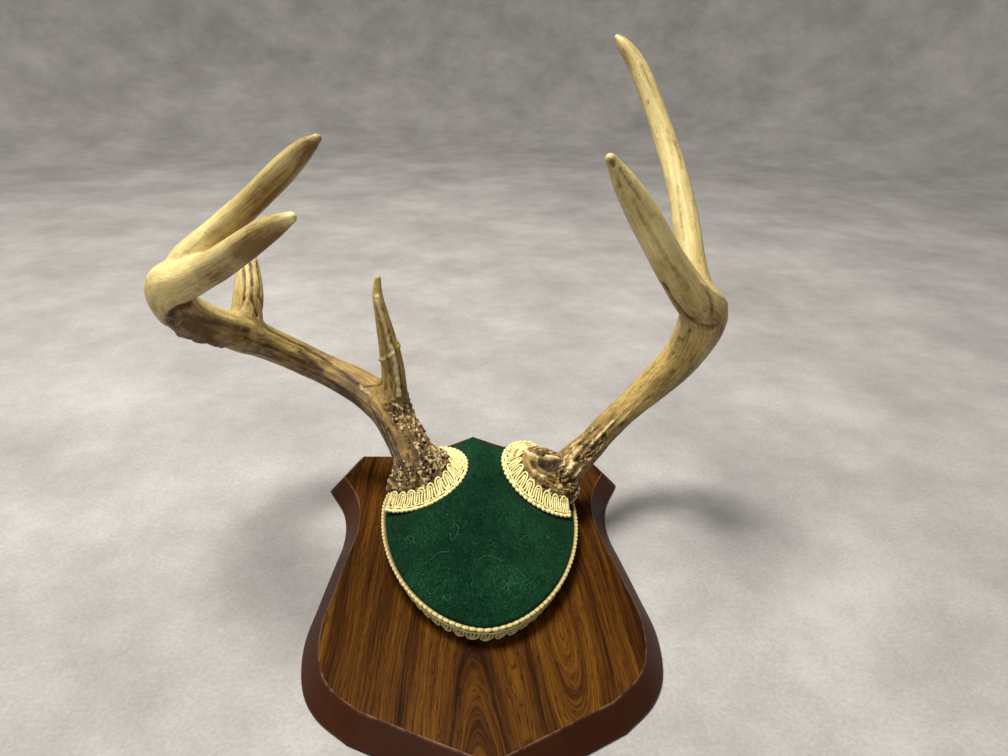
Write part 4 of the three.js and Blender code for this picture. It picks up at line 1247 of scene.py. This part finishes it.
def make_braid(name, node, band, pitch, loops, stand, lean, bead, inset):
    """Scroll gimp on a band: a woven tape, a beaded cord along one edge with a thin cord
    beside it, and a double cord that runs in S-shaped scrolls whose free loops stand
    along the other edge, the upper one where loops is 1 and the lower where it is -1."""
    half = GIMP_WIDTH / 2
    start, end = 0, band.length
    parts = []
    for offset in (-pitch / 8, pitch / 8):
        u, v, high = scroll_line(start + 1.2, end - 1.2, pitch, half - inset, offset,
                                 SCROLL_HEIGHT, lean, loops, stand)
        parts.append(cord_mesh([(u, v + (inset - 0.25) * loops, high)], SCROLL_RADIUS,
                               band, 8))
    line, thick = scallop_line(start, end, bead, -loops * (half - 0.9), 1.0, 0.9)
    parts.append(cord_mesh([line], thick, band, 8))
    u = np.linspace(start, end, int((end - start) / 1.2))
    v = (-loops * (half - 1.7 - inset)
         + 0.25 * noise(np.stack([u / 3.0, 0 * u, 0 * u], 1), 60))
    high = 1.1 + 0.6 * inset + 0.35 * noise(np.stack([u / 2.2, 0 * u, 0 * u], 1), 61)
    parts.append(cord_mesh([(u, v, high)], INNER_RADIUS, band))
    # The low scallop, the end cords, the warp and the tape are given depth, painting them
    # in shade.
    line, thick = scallop_line(start, end, pitch / 2, loops * (half - 2.2), 0.4, 0.3)
    parts.append(cord_mesh([line], 0.6 * thick, band, depth=0.6))
    for place in (start + 0.5, start + 1.9, end - 1.9, end - 0.5):
        v = np.linspace(-half + 0.6, half - 0.8, 16)
        u = place + 0.4 * noise(np.stack([v / 2.0, 0 * v + place, 0 * v], 1), 58)
        high = 1.3 + 0.4 * noise(np.stack([v / 1.7, 0 * v + place, 0 * v], 1), 59)
        parts.append(cord_mesh([(u, v, high)], END_RADIUS, band, depth=0.1))
    u = np.linspace(start, end, max(20, int((end - start) / 2.5)))
    warp = [(u, np.full(len(u), v), np.full(len(u), 0.45))
            for v in np.linspace(-3.6, 3.6, 5)]
    parts.append(cord_mesh(warp, WARP_RADIUS, band, depth=0.75))
    parts.append(tape_mesh(start, end, band))
    total, points, quads, caps, uvs, shade = 0, [], [], {}, [], []
    for p, f, c, t, d in parts:
        points.append(p)
        quads.append(f + total)
        caps.setdefault(c.shape[1], []).append(c + total)
        uvs.append(t)
        shade.append(d)
        total += len(p)
    faces = [np.vstack(quads)] + [np.vstack(c) for c in caps.values()]
    piece = new_piece(name, np.vstack(points), faces, LOOKS["gimp"])
    give(piece, "depth", np.concatenate(shade))
    layer = piece.data.uv_layers.new(name="cord")
    corner = np.zeros(len(piece.data.loops), np.int32)
    piece.data.loops.foreach_get("vertex_index", corner)
    layer.data.foreach_set("uv", np.vstack(uvs)[corner].astype(np.float32).ravel())
    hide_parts(node)


def rim_band():
    """The band round the cap's wall between the angles RIM_ENDS in degrees."""
    steps = 1400
    angle = np.radians(np.linspace(*RIM_ENDS, steps))
    low_x, low_y = rim_point(angle, 0.5)
    high_x, high_y = rim_point(angle, 0.5 + CAP_FLARE)
    low = np.stack([low_x, low_y, np.full(steps, BOARD_THICKNESS + 0.35)], axis=1)
    high = np.stack([high_x, high_y, np.full(steps, BOARD_THICKNESS + CAP_WALL + 0.2)],
                    axis=1)
    return Band(low, high)


def collar_spokes(side, ends, steps):
    """A collar's axis, how far the braid rises along it, and the unit spokes round it
    at steps angles between two ends in degrees."""
    c = COLLARS[side]
    axis = unit(np.array([*c["lean"], 1.0]))
    across = unit(np.cross((0, 1, 0), axis))
    along = np.cross(axis, across)
    rise = math.sqrt(GIMP_WIDTH**2 - (c["radius"] - c["top"])**2)
    angle = np.radians(np.linspace(*ends, steps))[:, None]
    return axis, rise, across * np.cos(angle) + along * np.sin(angle)


def collar_band(side):
    """The cone band round a burr, from its outer edge on the felt to its top edge."""
    c = COLLARS[side]
    axis, rise, spoke = collar_spokes(side, c["ends"], 400)
    low = np.array(c["base"]) + spoke * c["radius"] + axis * 0.5
    high = np.array(c["base"]) + spoke * c["top"] + axis * (0.5 + rise)
    return Band(low, high, c["crowd"])


def make_braids():
    """The gimp round the cap's rim and round each burr."""
    make_braid("rim_braid", "braid_rim", rim_band(), pitch=7.6, loops=-1, stand=0.0,
               lean=(0.2, 0.2), bead=3.6, inset=1.5)
    for side, c in COLLARS.items():
        make_braid(f"{side}_collar_braid", f"braid_{side}_burr", collar_band(side),
                   pitch=7.0, loops=1, stand=1.1, lean=c["scroll_lean"], bead=3.0,
                   inset=0.95)


# ---- antlers ---------------------------------------------------------------------------
class Stem:
    """A horn's round core: balls of changing radius strung along a curve, about a
    millimetre apart."""

    def __init__(self, stations):
        fine = round_curve(stations, 40)
        run = run_along(fine[:, :3])
        self.length = run[-1]
        self.run = np.linspace(0, self.length, int(self.length) + 1)
        x, y, z, self.radius = (np.interp(self.run, run, fine[:, i]) for i in range(4))
        self.place = np.stack([x, y, z], axis=1)
        self.ahead = unit(np.gradient(self.place, axis=0))
        self.taper = np.gradient(self.radius) / (self.run[1] - self.run[0])
        self.side = self.least_turned()
        self.up = np.cross(self.ahead, self.side)

    def least_turned(self):
        """Sideways directions that turn as little as possible along the curve."""
        side = np.zeros_like(self.ahead)
        last = np.array([0.0, 1.0, 0.0])
        for i, ahead in enumerate(self.ahead):
            last = unit(last - ahead * (last @ ahead))
            side[i] = last
        return side

    def nearest(self, points):
        """For each point: the distance to the surface, the direction away from the
        core, the distance run along it, the direction round it and the radius there."""
        chosen = np.zeros(len(points), np.int64)
        size = (self.place**2).sum(1)
        batch = 8192
        for start in range(0, len(points), batch):
            part = points[start:start + batch]
            square = (part**2).sum(1)[:, None] + size - 2 * part @ self.place.T
            chosen[start:start + batch] = np.argmin(
                np.sqrt(np.maximum(square, 0)) - self.radius, axis=1)
        step = self.run[1]
        offset = points - self.place[chosen]
        slide = np.clip((offset * self.ahead[chosen]).sum(1), -step, step)
        slide = np.where((chosen == 0) & (slide < 0), 0, slide)
        slide = np.where((chosen == len(self.run) - 1) & (slide > 0), 0, slide)
        away = offset - self.ahead[chosen] * slide[:, None]
        far = np.linalg.norm(away, axis=1)
        radius = self.radius[chosen] + self.taper[chosen] * slide
        around = np.stack([(away * self.side[chosen]).sum(1),
                           (away * self.up[chosen]).sum(1)], axis=1)
        scale = np.maximum(far, 1e-6)[:, None]
        return (far - radius, away / scale, self.run[chosen] + slide, around / scale,
                radius)

    def tube(self, sides=20):
        """A closed tube along the core with round ends, for the first rough skin."""
        pick = np.unique(np.linspace(0, len(self.run) - 1,
                                     max(6, len(self.run) // 3)).astype(int))
        ring = circle_round(self.side[pick], self.up[pick], sides)
        points = self.place[pick][:, None] + ring * self.radius[pick][:, None, None]
        turn = np.radians([25.0, 50.0, 75.0])[:, None]
        start, end = [
            (self.place[i]
             + sign * self.ahead[i] * self.radius[i] * np.sin(turn))[:, None]
            + ring[i if i == 0 else -1] * (self.radius[i] * np.cos(turn))[:, None]
            for i, sign in ((0, -1), (-1, 1))]
        points = np.concatenate([start[::-1], points, end])
        caps = np.stack([np.arange(sides)[::-1],
                         np.arange(sides) + (len(points) - 1) * sides])
        return points.reshape(-1, 3), grid_faces(len(points), sides), caps


def shares(distances, softness):
    """How much each stem counts at a point, e^(-distance / softness) scaled to sum to
    1, and the least distance."""
    low = distances.min(axis=0)
    weight = np.exp(-(distances - low) / softness)
    return weight / weight.sum(axis=0), low


def joined_distance(stems, points, fillets):
    """Distance to the stems' surfaces run smoothly together, -s log(sum of
    e^(-distance / s)), its slope, and what each stem found. How wide they run together
    is s, the fillet of the nearest stem but the beam."""
    found = [stem.nearest(points) for stem in stems]
    distances = np.array([f[0] for f in found])
    softness = np.array(fillets)[np.argmin(distances[1:], axis=0)]
    weight, low = shares(distances, softness)
    value = low - softness * np.log(np.exp(-(distances - low) / softness).sum(axis=0))
    slope = sum(w[:, None] * f[1] for w, f in zip(weight, found))
    return value, slope, found


def neighbour_mean(points, edges):
    """For each point the mean of the points that an edge joins to it."""
    count = len(points)
    total = np.zeros_like(points)
    for axis in range(3):
        total[:, axis] = (np.bincount(edges[:, 0], points[edges[:, 1], axis], count)
                          + np.bincount(edges[:, 1], points[edges[:, 0], axis], count))
    degree = np.bincount(edges.ravel(), minlength=count)
    return total / np.maximum(degree, 1)[:, None]


def rough_skin(name, stems, finer):
    """One closed skin round all the stems, on a lattice of SKIN_STEP millimetres, with
    the faces inside finer = (centre, radius) spheres split once more."""
    points, quads, caps, total = [], [], [], 0
    for stem in stems:
        p, q, c = stem.tube()
        points.append(p)
        quads.append(q + total)
        caps.append(c + total)
        total += len(p)
    skin = new_piece(name, np.vstack(points), [np.vstack(quads), np.vstack(caps)],
                     LOOKS["antler"])
    lattice = skin.modifiers.new("lattice", "REMESH")
    lattice.mode, lattice.voxel_size = "VOXEL", SKIN_STEP * MM
    lattice.use_smooth_shade = True
    apply_modifiers(skin)
    shape = bmesh.new()
    shape.from_mesh(skin.data)
    co = np.array([v.co[:] for v in shape.verts]) / MM
    inside = np.zeros(len(co), bool)
    for centre, radius in finer:
        inside |= np.linalg.norm(co - np.array(centre), axis=1) < radius
    edges = [e for e in shape.edges
             if inside[e.verts[0].index] and inside[e.verts[1].index]]
    bmesh.ops.subdivide_edges(shape, edges=edges, cuts=1, use_grid_fill=True)
    shape.to_mesh(skin.data)
    shape.free()
    return skin


def fit_skin(skin, stems, fillets):
    """Moves the skin's points onto the joined surface by Newton steps along its slope,
    with a little smoothing between them to spread the points evenly."""
    points = points_of(skin)
    edges = np.zeros(len(skin.data.edges) * 2, np.int32)
    skin.data.edges.foreach_get("vertices", edges)
    edges = edges.reshape(-1, 2)
    for turn in range(4):
        if turn:
            points = points + 0.5 * (neighbour_mean(points, edges) - points)
        value, slope, found = joined_distance(stems, points, fillets)
        square = np.maximum((slope**2).sum(1), 0.15)
        points = points - slope * (value / square)[:, None]
    return points, found


def make_antler(side, stations, fillets, features, finer):
    """A whole antler: the joined skin, moved in and out along its normal by irregular
    swelling, lengthwise grooves, pearls and the antler's own features."""
    stems = [Stem(s) for s in stations.values()]
    skin = rough_skin(f"{side}_antler", stems, finer)
    points, found = fit_skin(skin, stems, fillets)
    distances = np.array([f[0] for f in found])
    weight, _ = shares(distances, STEM_BLEND)
    beam = stems[0]
    reach = [beam.length] + [stem.length for stem in stems[1:]]
    roots = [0.0] + [beam.nearest(stem.place[:1])[2][0] for stem in stems[1:]]
    full = beam.length
    run = sum(w * np.clip((root + f[2]) / full, 0, 1)
              for w, f, root in zip(weight, found, roots))
    left_over = sum(w * (length - f[2]) for w, f, length in zip(weight, found, reach))
    grain = sum(w[:, None] * np.column_stack([f[3] * f[4][:, None], f[2] + 90 * i])
                for i, (w, f) in enumerate(zip(weight, found)))
    grooves = 0
    for i, (w, f) in enumerate(zip(weight, found)):
        coords = np.column_stack([f[3] * 3.1, f[2] / 46 + 5 * i])
        sharp = 1 - 2 * np.abs(noise(coords, 11 + i))
        wide = noise(np.column_stack([f[3] * 1.4, f[2] / 60 + 3 * i]), 21 + i)
        grooves = grooves + w * (0.6 * sharp + 0.6 * wide)
    normal = unit(sum(w[:, None] * f[1] for w, f in zip(weight, found)))
    swelling = layered(points / 26.0, 3) * 0.45
    amount = 0.2 + 0.5 * smooth(run, 0.75, 0.05) * smooth(left_over, 10, 60)
    height = swelling * smooth(left_over, 0, 20) + grooves * amount
    fine = layered(points / 3.2, 41, 2) * (0.05 + 0.12 * smooth(run, 0.5, 0.0))
    height = height + fine
    relief = 0.5 + 0.2 * grooves * smooth(run, 1.1, 0.0)
    # Painted shade: faces that turn downward are browned, most towards the burr.
    under = smooth(-normal[:, 2], -0.45, 0.6)
    stain_and_shade = 0.45 * under * (0.4 + 0.6 * smooth(run, 0.95, 0.5))
    for feature in features:
        height, relief, stain_and_shade = feature(points, normal, found, height, relief, stain_and_shade)
    points = points + normal * height[:, None]
    skin.data.vertices.foreach_set("co", (points * MM).astype(np.float32).ravel())
    skin.data.update()
    give(skin, "run", run)
    give(skin, "relief", np.clip(relief, 0, 1))
    give(skin, "stain_and_shade", np.clip(0.5 + 0.5 * stain_and_shade, 0, 1))
    give(skin, "grain", grain, "FLOAT_VECTOR")
    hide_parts(*[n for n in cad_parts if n.startswith(side)])


def pearls(towards, until, burr, tall=1.5, stretch=1.0, bare=()):
    """Pearls: ragged lumps and pits with dark cracks between them, round the burr and up
    the flank that faces towards, as far as until millimetres along the beam. Beyond the
    burr they are drawn out by stretch. The bare balls (place, radius) have none."""
    towards = unit(np.array(towards, float))

    def shape(points, normal, found, height, relief, stain_and_shade):
        on_ring = found[-1][0] < found[0][0]
        run = np.where(on_ring, 0, found[0][2])
        near = smooth(np.minimum(found[0][0], found[-1][0]), 6, 2)
        flank = smooth(normal @ towards, 0.0, 0.35)
        mask = np.maximum(smooth(run, burr + 5, burr - 4),
                          flank * smooth(run, until, until - 16)) * near
        for place, radius in bare:
            away = np.linalg.norm(points - np.array(place), axis=1)
            mask = mask * smooth(away, 0.75 * radius, 1.1 * radius)
        drawn = [np.column_stack([f[3] * f[4][:, None], np.minimum(f[2], burr)
                                  + np.maximum(f[2] - burr, 0) / stretch])
                 for f in (found[0], found[-1])]
        drawn = np.where(on_ring[:, None], drawn[1] + 50, drawn[0])
        bent = drawn + np.stack([layered(points / 3.5, 61 + 5 * i, 2)
                                 for i in range(3)], 1) * 2.0
        first, second, own = cells(bent / np.array(PEARL_CELL), 71)
        crack = smooth(second - first, 0.0, 0.22)
        lump = np.maximum(0, 1 - (first / 0.75) ** 2) * crack
        hole = own < 0.3
        size = 0.25 + 0.9 * (own - 0.3) / 0.7
        bump = np.where(hole, -0.9 * smooth(first, 0.6, 0.1), lump * size) * tall
        chips = layered(points / 1.3, 77, 2) * 0.28
        mask = mask * (1 - 0.35 * smooth(run, burr, burr + 8) * (stretch > 1))
        height = height + mask * (bump - 0.35 + chips)
        tone = np.where(hole, 0.28 - 0.3 * smooth(first, 0.6, 0.15),
                        0.04 + 0.44 * crack + 0.62 * lump * size + 0.5 * chips)
        relief = relief * (1 - mask) + mask * np.clip(tone, 0, 1)
        return height, relief, stain_and_shade + mask * 0.1

    return shape


def distance_to_line(points, line):
    """Distance from each point to a polyline, and where along it the nearest place is."""
    best = np.full(len(points), 1e9)
    along = np.zeros(len(points))
    start = 0.0
    for a, b in zip(line[:-1], line[1:]):
        step = b - a
        length = np.linalg.norm(step)
        t = np.clip((points - a) @ step / length**2, 0, 1)
        away = np.linalg.norm(points - a - t[:, None] * step, axis=1)
        nearer = away < best
        best = np.where(nearer, away, best)
        along = np.where(nearer, start + t * length, along)
        start += length
    return best, along


def scars(lines):
    """Each line raises or sinks the skin by a bell of its own width and height, whose
    edge wavers and whose height swells and fades along it."""

    def shape(points, normal, found, height, relief, stain_and_shade):
        height, relief, stain_and_shade = height.copy(), relief.copy(), stain_and_shade.copy()
        for i, (width, tall, shade, line) in enumerate(lines):
            line = np.array(line)
            reach = 3 * width + 1.5
            inside = np.all((points > line.min(0) - reach)
                            & (points < line.max(0) + reach), axis=1)
            chosen = np.nonzero(inside)[0]
            near = points[chosen]
            near = near + np.stack([noise(near / 2.6, 91 + i + j) for j in range(3)],
                                   1) * 0.35
            away, along = distance_to_line(near, line)
            swell = noise(np.stack([along / 2.8, 0 * along + i, 0 * along], 1), 93)
            bell = np.exp(-(away / width) ** 2)
            height[chosen] += tall * bell * (1 + 0.35 * swell)
            # Above the threshold a scar browns the colour, below it takes the dark hollow
            # colour.
            if DIRT_AND_SHADOW_SHADE < shade < 0:
                stain_and_shade[chosen] -= 0.9 * shade * bell * (1 + 0.3 * swell)
                relief[chosen] += 0.3 * shade * bell
            else:
                relief[chosen] += 0.5 * shade * bell * (1 + 0.3 * swell)
        return height, relief, stain_and_shade

    return shape


def tones(spots):
    """Soft patches, each of its own place, radius and amount, browner above 0 and
    cleaner below."""

    def shape(points, normal, found, height, relief, stain_and_shade):
        for place, radius, amount in spots:
            square = ((points - np.array(place)) ** 2).sum(1)
            stain_and_shade = stain_and_shade + amount * np.exp(-square / radius**2)
        return height, relief, stain_and_shade

    return shape


def burr_ring(side, ends, loop, thick, sink):
    """Stations of a ring of radius loop, as thick as given, lying in the mouth of a
    collar between two angles in degrees."""
    axis, rise, spoke = collar_spokes(side, ends, 12)
    middle = np.array(COLLARS[side]["base"]) + axis * (rise - sink)
    return np.column_stack([middle + loop * spoke, np.full(len(spoke), thick)])


def make_antlers():
    """The two antlers, with a fillet for each stem but the beam."""
    left = dict(LEFT_STEMS, ring=burr_ring("left", (-150, 70), 15.8, 6.0, 1.5))
    make_antler(
        "left", left, fillets=(3.2, 2.4, 0.7, 2.0),
        features=[pearls((0.95, -0.45, 0.1), 60, burr=11.0, tall=1.8),
                  scars(LEFT_SCARS), tones(LEFT_TONES)],
        finer=[((-42, 58, 52), 26), ((-52, 70, 75), 27), ((-57, 80, 120), 42),
               ((-148, 104, 150), 28), ((-160, 62, 150), 34)])
    right = dict(RIGHT_STEMS, lip=burr_ring("right", (108, 176), 25.3, 2.2, 1.8),
                 ring=burr_ring("right", (50, 330), 15.2, 6.4, 0.5))
    make_antler(
        "right", right, fillets=(1.6, 0.8, 2.8),
        features=[pearls((-0.2, -0.8, 0.55), 62, burr=15.0, stretch=2.6,
                         bare=RIGHT_BARE),
                  scars(RIGHT_SCARS), tones(RIGHT_TONES)],
        finer=[((50, 46, 48), 34), ((84, 66, 62), 24)])


# ---- stage and lights ------------------------------------------------------------------
def make_stage():
    """A pale bowl: a flat floor that turns up into a wall far outside the object, as a
    profile (radius, height) carried round the middle."""
    bend = np.linspace(0, math.pi / 2, 24)
    flat, curve, wall = 1500.0, 700.0, 2600.0
    radius = np.concatenate([[1, 200, 600, 1000], flat + curve * np.sin(bend),
                             [flat + curve]])
    height = np.concatenate([[0, 0, 0, 0], curve * (1 - np.cos(bend)), [wall]])
    around = 96
    angle = np.arange(around) / around * TAU
    points = np.stack(np.broadcast_arrays(
        radius[:, None] * np.cos(angle), radius[:, None] * np.sin(angle),
        height[:, None] - 0.02), axis=-1)
    middle = np.arange(around)[None]
    floor = new_piece("floor", points.reshape(-1, 3),
                      [grid_faces(len(radius), around), middle],
                      LOOKS["floor"], link=False)


# Round lamps in metres and watts: (name, place, target, width, power, colour).
LAMPS = (
    ("key", (-0.38, 0.25, 1.6), (0, 0.03, 0.05), 0.7, 46, (1.0, 0.965, 0.9)),
    ("fill", (-0.6, -1.1, 1.0), (0, 0, 0.1), 1.0, 6, (1.0, 0.98, 0.95)),
)
ROOM_TINT, ROOM_STRENGTH = (1, 0.985, 0.96, 1), 0.32


def add_light(name, place, target, size, power, tint):
    """A round area lamp at a place, facing its target."""
    data = bpy.data.lights.new(name, "AREA")
    data.shape, data.size, data.energy, data.color = "DISK", size, power, tint
    lamp = bpy.data.objects.new(name, data)
    lamp.location = Vector(place)
    lamp.rotation_mode = "QUATERNION"
    lamp.rotation_quaternion = (Vector(target) - lamp.location).to_track_quat("-Z", "Y")
    bpy.context.scene.collection.objects.link(lamp)


def make_lights():
    """The lamps, and an even light from all round."""
    for lamp in LAMPS:
        add_light(*lamp)
    world = bpy.data.worlds.new("studio")
    world.use_nodes = True
    room = world.node_tree.nodes["Background"]
    room.inputs["Color"].default_value = ROOM_TINT
    room.inputs["Strength"].default_value = ROOM_STRENGTH
    bpy.context.scene.world = world
    bpy.context.scene.view_settings.view_transform = "Standard"


# ---- making it -------------------------------------------------------------------------
make_camera()
make_stage()
make_lights()
make_board()
make_felt()
make_lint()
make_braids()
make_antlers()
for name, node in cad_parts.items():
    if name.startswith(("hanger", "screw")):
        for held in node.material_slots:
            held.material = LOOKS["steel"]
